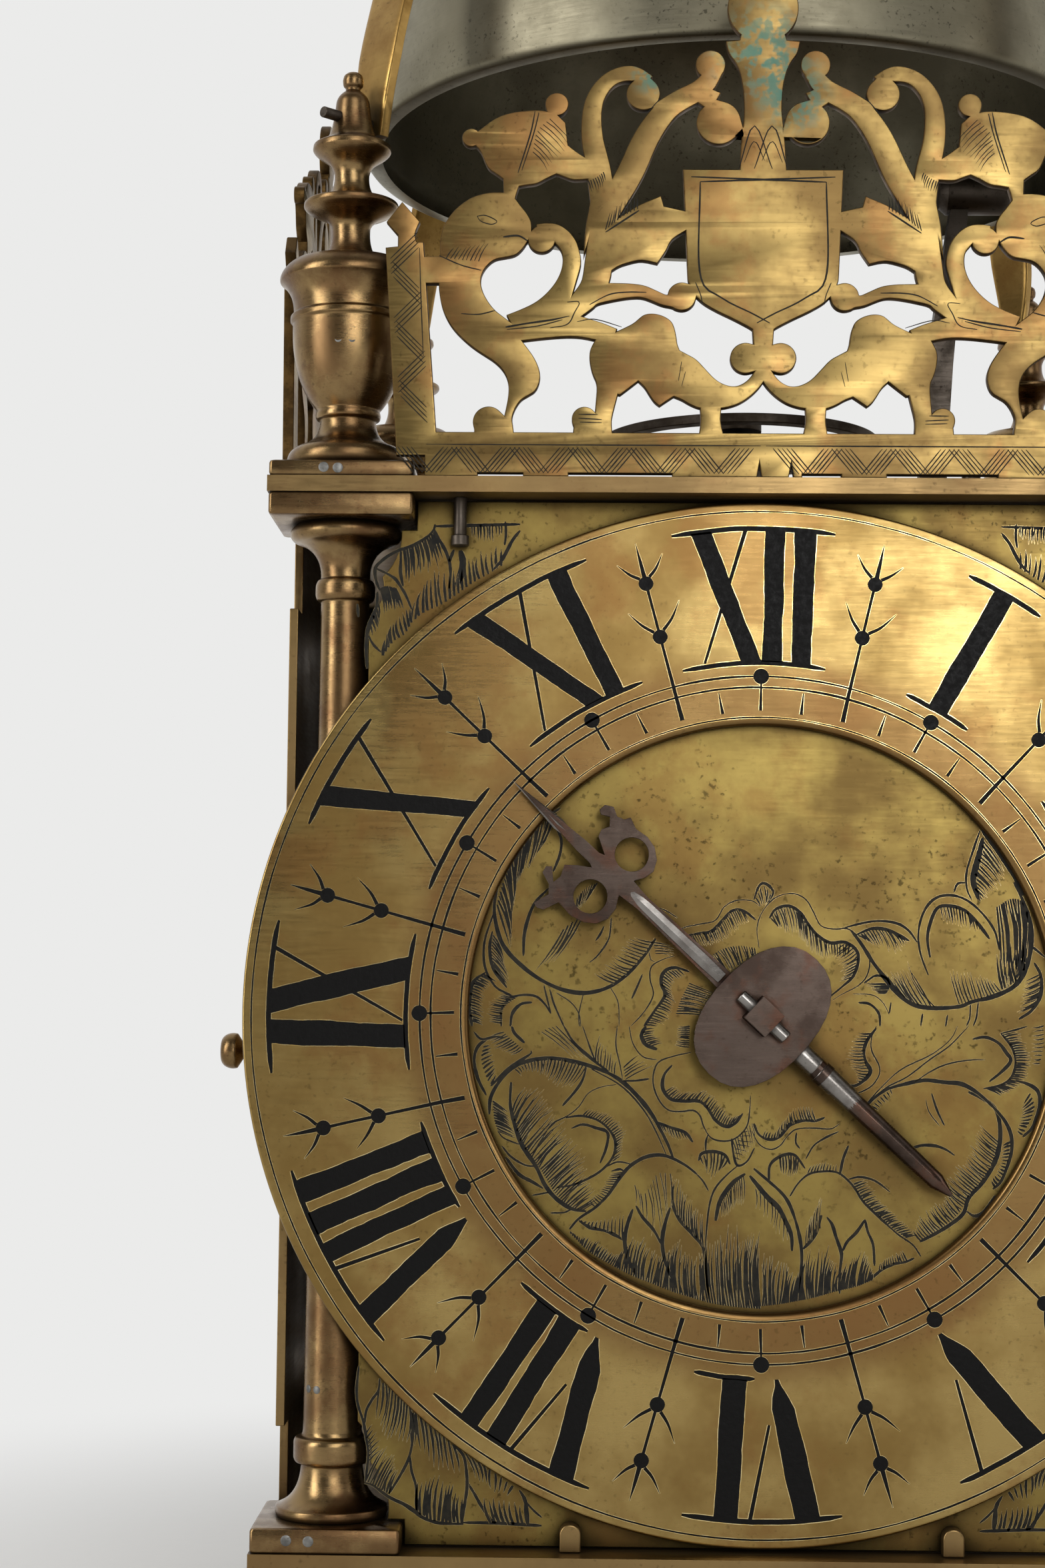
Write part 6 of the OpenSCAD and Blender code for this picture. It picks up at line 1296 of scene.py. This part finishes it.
class CLOCK_OT_bend_strap(bpy.types.Operator):
    """Bend the bell strap's four arms and its hub"""
    bl_idname = "clock.bend_strap"
    bl_label = "Bell strap"

    def execute(self, context):
        far, foot = CORNER * math.sqrt(2) - 3.7, 253.0
        low = thinned(np.concatenate([
            [[6.0, STRAP_Z]],
            bow([10, STRAP_Z], [46, STRAP_Z + 3], [far - 13, RIM_Z + 44], [far - 8, RIM_Z + 20], 34),
            bow([far - 8, RIM_Z + 20], [far - 6, RIM_Z + 8], [far - 2, RIM_Z], [far - 2, foot + 4], 20),
            [[far - 2, foot]]]))
        way = np.gradient(low, axis=0)
        way /= np.linalg.norm(way, axis=1)[:, None]
        out = np.stack([-way[:, 1], way[:, 0]], 1)
        gone = np.concatenate([[0], np.cumsum(np.linalg.norm(np.diff(low, axis=0), axis=1))])
        half = 4.5 - 2.1 * np.clip((gone - gone[-1] + 14) / 14, 0, 1) ** 1.4
        section = squarish(1, 1, 0.28)
        shapes = []
        for turn in (45, 135, 225, 315):
            a = math.radians(turn)
            along = np.array([math.cos(a), math.sin(a), 0])
            side = np.array([-math.sin(a), math.cos(a), 0])
            across = section[:, 0][None, :] * half[:, None]
            rise = section[:, 1][None, :] + 1.0
            r = low[:, 0][:, None] + out[:, 0][:, None] * rise
            z = low[:, 1][:, None] + out[:, 1][:, None] * rise
            loops = r[..., None] * along + z[..., None] * np.array([0, 0, 1]) + across[..., None] * side
            shapes.append(stack(loops[:, ::-1]))
        hub = trace([2.6, STRAP_Z], [8.6, STRAP_Z], [9, STRAP_Z + .4], [9, STRAP_Z + 1.7], [8.6, STRAP_Z + 2.1],
                    [2.6, STRAP_Z + 2.1])
        washer = trace([2.6, BELL_TOP], [6, BELL_TOP], [6, STRAP_Z + .1], [2.6, STRAP_Z + .1])
        shape = join(*shapes, lathe(hub, segments=64, closed=True), lathe(washer, segments=64, closed=True))
        show("bent_bell_strap", to_mesh("strap", shape), ["hammered_strap_brass"], "case", ("bell_strap",))
        return {"FINISHED"}


class CLOCK_OT_pierce_frets(bpy.types.Operator):
    """Pierce the three frets, with rounded faces and dark filed edges"""
    bl_idname = "clock.pierce_frets"
    bl_label = "Frets"

    def execute(self, context):
        bevel = context.scene.clock_sizes.fret_edge
        # Each fret's face looks along axis and sign, and its width runs along the other level axis.
        for name, axis, sign, width_sign, turned in (("front_fret", 1, -1, 1, None),
                                                     ("left_fret", 0, -1, -1, on_left),
                                                     ("right_fret", 0, 1, 1, on_right)):
            loops = face_loops(name, axis, sign * FRET_FACE)
            flat = [softened(np.column_stack([loop[:, 1 - axis] * width_sign, loop[:, 2]])) for loop in loops]
            mesh, points = plate_from(name, flat, FRET_FACE - FRET_BACK, bevel)
            front = np.column_stack([points[:, 0], -FRET_FACE - points[:, 2], points[:, 1]])
            place_points(mesh, turned((front, None))[0] if turned else front)
            piece = show("pierced_" + name, mesh, ["pierced_cast_brass", "filed_edge_brass"], "case",
                         (name,), 20)
            edges_darker(piece.data, axis)
        return {"FINISHED"}


class CLOCK_OT_turn_ring(bpy.types.Operator):
    """Turn the chapter ring"""
    bl_idname = "clock.turn_ring"
    bl_label = "Chapter ring"

    def execute(self, context):
        face, back = -RING_FACE_Y, -DIAL_FACE_Y
        line = trace([44.7, back], [79.4, back], [79.4, face - .5],
                     [[79.4, face - .4], [79.35, face - .1], [79.2, face], [78.9, face]], [60, face],
                     [[45.7, face], [45.1, face], [44.75, face - .3], [44.7, face - .8]])
        points, blocks = lathe(line, segments=256, closed=True)
        points = points[:, [0, 2, 1]] * [1, -1, 1] + [0, 0, DIAL_Z]
        show("turned_chapter_ring", to_mesh("ring", (points, blocks)), ["hand_stoned_ring_brass"], "case",
             ("chapter_ring",), 40)
        return {"FINISHED"}


class CLOCK_OT_cut_numbers(bpy.types.Operator):
    """Cut the ring's numerals, circles, divisions and arrows and fill them with black wax"""
    bl_idname = "clock.cut_numbers"
    bl_label = "Numerals and tracks"

    def execute(self, context):
        sizes = context.scene.clock_sizes
        draw = np.random.default_rng(7)
        numbers, tracks = number_edges(draw), track_edges(draw)
        lift = on_front(RING_FACE_Y)
        show_cuts("waxed_numerals", "numerals", bands(numbers, lift, sizes.cut_height), "black_wax_filling")
        show_cuts("waxed_tracks", "tracks", bands(tracks, lift, sizes.cut_height), "black_wax_filling")
        # Painted glints: bright brass bands a little wider than each cut, standing for the burred edge and the light
        # it catches.
        burrs = widened(numbers, sizes.burr_glint) + widened(tracks, sizes.burr_glint * .6)
        show_cuts("ring_burrs", "burrs", bands(burrs, lift, 0.008, 0.05), "bright_burr_brass")
        return {"FINISHED"}


class CLOCK_OT_engrave_dial(bpy.types.Operator):
    """Engrave the foliage on the dial's centre and the leaves on its corners"""
    bl_idname = "clock.engrave_dial"
    bl_label = "Dial engraving"

    def execute(self, context):
        draw = np.random.default_rng(11)
        cuts = engraved(draw, DIAL_LINES, DIAL_COMBS)
        cuts += mirrored(engraved(draw, CORNER_LEAF_LINES, CORNER_LEAF_COMBS))
        lift = on_front(DIAL_FACE_Y)
        show_cuts("engraved_foliage", "foliage", bands(cuts, lift, .012), "dirt_in_engraving")
        # Painted glints: bright bands just wider than the foliage's cuts, as on the ring.
        show_cuts("foliage_burrs", "foliage_burrs", bands(widened(cuts, .02), lift, .003, .05), "bright_burr_brass")
        return {"FINISHED"}


class CLOCK_OT_engrave_frets(bpy.types.Operator):
    """Engrave the zigzags, veins and eyes on the three frets"""
    bl_idname = "clock.engrave_frets"
    bl_label = "Fret engraving"

    def execute(self, context):
        draw = np.random.default_rng(13)
        cuts = mirrored(engraved(draw, FRET_LINES + tuple(post_lines()), FRET_COMBS))
        shape = bands(cuts, on_front(-FRET_FACE), .012, .05)
        for name, side in (("front", shape), ("left", on_left(shape)), ("right", on_right(shape))):
            show_cuts(f"engraved_{name}_fret", "fret_lines", side, "dirt_in_engraving")
        return {"FINISHED"}


class CLOCK_OT_ease_case(bpy.types.Operator):
    """Ease the edges of the plates, doors and small iron pieces"""
    bl_idname = "clock.ease_case"
    bl_label = "Plates, doors and small pieces"

    def execute(self, context):
        edge = context.scene.clock_sizes.edge
        for name in ("bottom_plate", "top_plate", "left_door", "right_door", "dial_lugs", "back_plate"):
            eased_copy(name, FRAME_FINISH.get(name, "hammered_sheet_brass"), edge)
        eased_copy("dial_plate", "engraved_sheet_brass", edge * .6)
        for name in ("hanging_hoop", "wall_spurs", "dial_catches", "strap_pins", "bell_nut", "bar_wedges"):
            eased_copy(name, "forged_wrought_iron", .15)
        return {"FINISHED"}


class CLOCK_OT_ease_movement(bpy.types.Operator):
    """Smooth and ease the movement's bars, wheels, arbors and levers"""
    bl_idname = "clock.ease_movement"
    bl_label = "Movement"

    def execute(self, context):
        bars = ("front_bar", "centre_bar", "back_bar", "verge_potence", "balance_cock", "hammer", "hammer_mounts",
                "detent_arbor", "balance_wheel")
        for name in bars:
            eased_copy(name, "forged_wrought_iron", .15)
        for name in WHEELS:
            eased_copy(name, "filed_wheel_brass", .08, segments=1)
        for name in STEEL[3:]:
            eased_copy(name, "polished_arbor_steel", .08, segments=1)
        return {"FINISHED"}


def along_hand(line, sign, flat=1.0, segments=32):
    """A bar turned about the hand's own length: points (radius, distance) go out towards the point (1) or the
    tail (-1) from the dial's middle, and its depth is that share of its width."""
    points, blocks = lathe(line, segments=segments)
    out = sign * np.array([math.sin(HAND_TURN), 0, math.cos(HAND_TURN)])
    side = np.array([out[2], 0, -out[0]])
    basis = np.stack([side, np.cross(out, side), out], 1)
    return turned_about((points * [1, flat, 1], blocks), (0, HAND_Y, DIAL_Z), basis)


class CLOCK_OT_forge_hand(bpy.types.Operator):
    """Forge the hand, its boss, tail, arbor end and taper pin"""
    bl_idname = "clock.forge_hand"
    bl_label = "Hand"

    def execute(self, context):
        eased_copy("hour_hand", "browned_filed_steel", .22, 3)
        eased_copy("hour_arbor", "browned_filed_steel", .25)
        eased_copy("hand_pin", "polished_arbor_steel", .2)
        tail = trace([0, 6.8], [1.7, 6.8], [1.75, 11.2], [1.5, 11.5], [1.5, 11.8], [1.8, 12.1], [1.8, 14],
                     [.98, 34.9], [.8, 35.1], [.8, 35.4], [.95, 35.7], [.5, 37.6], [0, 38.7])
        stem = trace([0, 8.4], [1.2, 8.4], [1.35, 12], [1.15, 24], [.9, 27], [0, 29])
        point = trace([0, 38.5], [.5, 39], [.95, 42.6], [.5, 47], [0, 52.4])
        shape = join(along_hand(eased(tail, .2), -1), along_hand(stem, 1, .95, 8), along_hand(point, 1, .95, 4))
        show("filed_hand_bars", to_mesh("bars", shape), ["polished_arbor_steel"], "hand", sharp=28)
        return {"FINISHED"}


# Each lamp's name, the setting that holds its power, its place, the point it looks at, its width and its height,
# in metres.
LAMPS = (("key_softbox", "key", (-1.2, -0.75, 0.6), (0, 0, 0.2), 0.4, 1.2),
         ("front_softbox", "front", (0.28, -1.45, 0.42), (0, 0, 0.18), 0.42, 0.42),
         ("top_softbox", "top", (0.35, -1.25, 0.95), (0, -0.1, 0.2), 0.7, 0.5),
         ("right_softbox", "fill", (1.3, -0.4, 0.5), (0, 0, 0.2), 0.5, 0.9))


class CLOCK_OT_set_stage(bpy.types.Operator):
    """Set the floor, the light and the camera"""
    bl_idname = "clock.set_stage"
    bl_label = "Stage"

    def execute(self, context):
        light = context.scene.clock_light
        backdrop = tuple(light.backdrop)
        set_floor(backdrop)
        set_world(context.scene, backdrop)
        for name, power, place, aim, width, height in LAMPS:
            set_lamp(name, place, aim, width, height, getattr(light, power))
        set_camera(context.scene)
        view = context.scene.view_settings
        view.view_transform = "Standard"
        return {"FINISHED"}


def set_floor(backdrop):
    """A pale floor: it takes the object's shadow near by, and further off it shows the backdrop's colour."""
    points = np.array([[-1, -1, 0], [1, -1, 0], [1, 1, 0], [-1, 1, 0]], float) * 4000 + CASE_MIDDLE
    mesh = to_mesh("floor", (points, [np.array([[0, 1, 2, 3]])]))
    floor = bpy.data.objects.new("pale_floor", mesh)
    bpy.context.scene.collection.objects.link(floor)
    made, tree, shader, place = new_material("matt_pale_paper")
    grain = between(tree, speckle(tree, place, 3.0), 0.2, 0.8, 0.0, 0.06)
    tree.links.new(blend(tree, grain, backdrop, linear("#d8d8d6")), shader.inputs["Base Color"])
    shader.inputs["Roughness"].default_value = 0.9
    away = add(tree, "VectorMath", {0: place}, operation="LENGTH").outputs["Value"]
    path = add(tree, "LightPath").outputs
    depth = add(tree, "SeparateXYZ", {0: place}).outputs["Y"]
    # Brass would mirror the glow of the floor in front, so reflections see it only behind the clock.
    behind = product(tree, path["Is Glossy Ray"], between(tree, depth, -0.05, 0.15))
    seen = add(tree, "Math", {0: path["Is Camera Ray"], 1: behind}, operation="MAXIMUM").outputs[0]
    seen = add(tree, "Math", {0: seen, 1: path["Is Transmission Ray"]}, operation="MAXIMUM").outputs[0]
    share = product(tree, seen, between(tree, away, 0.12, 0.3))
    glow = add(tree, "Emission", {"Color": backdrop, "Strength": 1.0}).outputs[0]
    mixed = add(tree, "MixShader", {0: share, 1: shader.outputs[0], 2: glow}).outputs[0]
    tree.links.new(mixed, tree.nodes["Material Output"].inputs["Surface"])
    mesh.materials.append(made)


def set_world(scene, backdrop):
    """A studio round the object: the backdrop's colour for the camera and behind the clock, and in front of it a
    dim grey that is lighter at the top."""
    world = bpy.data.worlds.new("studio")
    scene.world = world
    world.use_nodes = True
    tree = world.node_tree
    way = add(tree, "TexCoord").outputs["Generated"]
    parts = add(tree, "SeparateXYZ", {0: way}).outputs
    upward = between(tree, parts["Z"], -0.1, 0.9)
    behind = between(tree, parts["Y"], -0.35, 0.45)
    front = blend(tree, upward, linear("#413f3c"), linear("#787775"))
    room = blend(tree, behind, front, backdrop)
    seen = add(tree, "LightPath").outputs["Is Camera Ray"]
    colour = blend(tree, seen, room, backdrop)
    tree.links.new(colour, tree.nodes["Background"].inputs["Color"])


def set_lamp(name, place, aim, width, height, power):
    """A soft rectangular lamp in metres that looks at a point."""
    lamp = bpy.data.lights.new(name, "AREA")
    lamp.shape = "RECTANGLE"
    lamp.size, lamp.size_y, lamp.energy = width, height, power
    holder = bpy.data.objects.new(name, lamp)
    bpy.context.scene.collection.objects.link(holder)
    holder.location = place
    holder.rotation_euler = (Vector(aim) - Vector(place)).to_track_quat("-Z", "Y").to_euler()


# The camera as it was fitted: its pitch, yaw and roll in degrees, its place in case millimetres, its sensor in
# millimetres, and the picture's height, focal length and optical centre in rows of the picture.
CAMERA_TURN = (5.65, 1.14, 0.51)
CAMERA_SPOT = (-28.68, -480.66, 117.18)
SENSOR = 36
PICTURE_ROWS, FOCAL_ROWS, LEVEL_ROW = 2353, 3991.8, 1080.69


def set_camera(scene):
    """The photograph's camera: it stands before the dial to the left of its middle, and looks slightly up."""
    pitch, yaw, roll = (math.radians(v) for v in CAMERA_TURN)
    forward = Vector((-math.sin(yaw) * math.cos(pitch), math.cos(yaw) * math.cos(pitch), math.sin(pitch)))
    level = Vector((math.cos(yaw), math.sin(yaw), 0))
    up = level.cross(forward)
    right = math.cos(roll) * level + math.sin(roll) * up
    top = -math.sin(roll) * level + math.cos(roll) * up
    camera = bpy.data.objects.new("camera", bpy.data.cameras.new("camera"))
    scene.collection.objects.link(camera)
    basis = Matrix((right, top, -forward)).transposed().to_4x4()
    spot = (np.array(CAMERA_SPOT) - CASE_MIDDLE) / 1000
    camera.matrix_world = Matrix.Translation(Vector(spot)) @ basis
    camera.data.sensor_width = SENSOR
    camera.data.lens = FOCAL_ROWS / PICTURE_ROWS * SENSOR
    camera.data.shift_y = -(PICTURE_ROWS / 2 - LEVEL_ROW) / PICTURE_ROWS
    camera.data.clip_start = 0.01
    scene.camera = camera


class CLOCK_PT_pieces(bpy.types.Panel):
    """The clock's pieces and settings"""
    bl_idname = "CLOCK_PT_pieces"
    bl_label = "Lantern Clock"
    bl_space_type = "VIEW_3D"
    bl_region_type = "UI"
    bl_category = "Lantern Clock"

    def draw(self, context):
        layout = self.layout
        for group in (context.scene.clock_sizes, context.scene.clock_light):
            for name in group.bl_rna.properties.keys():
                if name not in ("rna_type", "name"):
                    layout.prop(group, name)
        for operator in OPERATORS:
            layout.operator(operator.bl_idname)


OPERATORS = (CLOCK_OT_finish_frame, CLOCK_OT_turn_feet, CLOCK_OT_turn_pillars, CLOCK_OT_turn_finials,
             CLOCK_OT_let_in_plugs, CLOCK_OT_turn_knobs, CLOCK_OT_cast_bell, CLOCK_OT_bend_strap,
             CLOCK_OT_pierce_frets, CLOCK_OT_turn_ring, CLOCK_OT_cut_numbers, CLOCK_OT_engrave_dial,
             CLOCK_OT_engrave_frets, CLOCK_OT_ease_case, CLOCK_OT_ease_movement, CLOCK_OT_forge_hand,
             CLOCK_OT_set_stage)
CLASSES = (ClockSizes, ClockLight) + OPERATORS + (CLOCK_PT_pieces,)


def register():
    for kind in CLASSES:
        bpy.utils.register_class(kind)
    bpy.types.Scene.clock_sizes = bpy.props.PointerProperty(type=ClockSizes)
    bpy.types.Scene.clock_light = bpy.props.PointerProperty(type=ClockLight)


def unregister():
    del bpy.types.Scene.clock_light
    del bpy.types.Scene.clock_sizes
    for kind in reversed(CLASSES):
        bpy.utils.unregister_class(kind)


def main():
    """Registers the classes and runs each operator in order."""
    register()
    for operator in OPERATORS:
        group, action = operator.bl_idname.split(".")
        getattr(getattr(bpy.ops, group), action)()


if __name__ == "__main__":
    main()
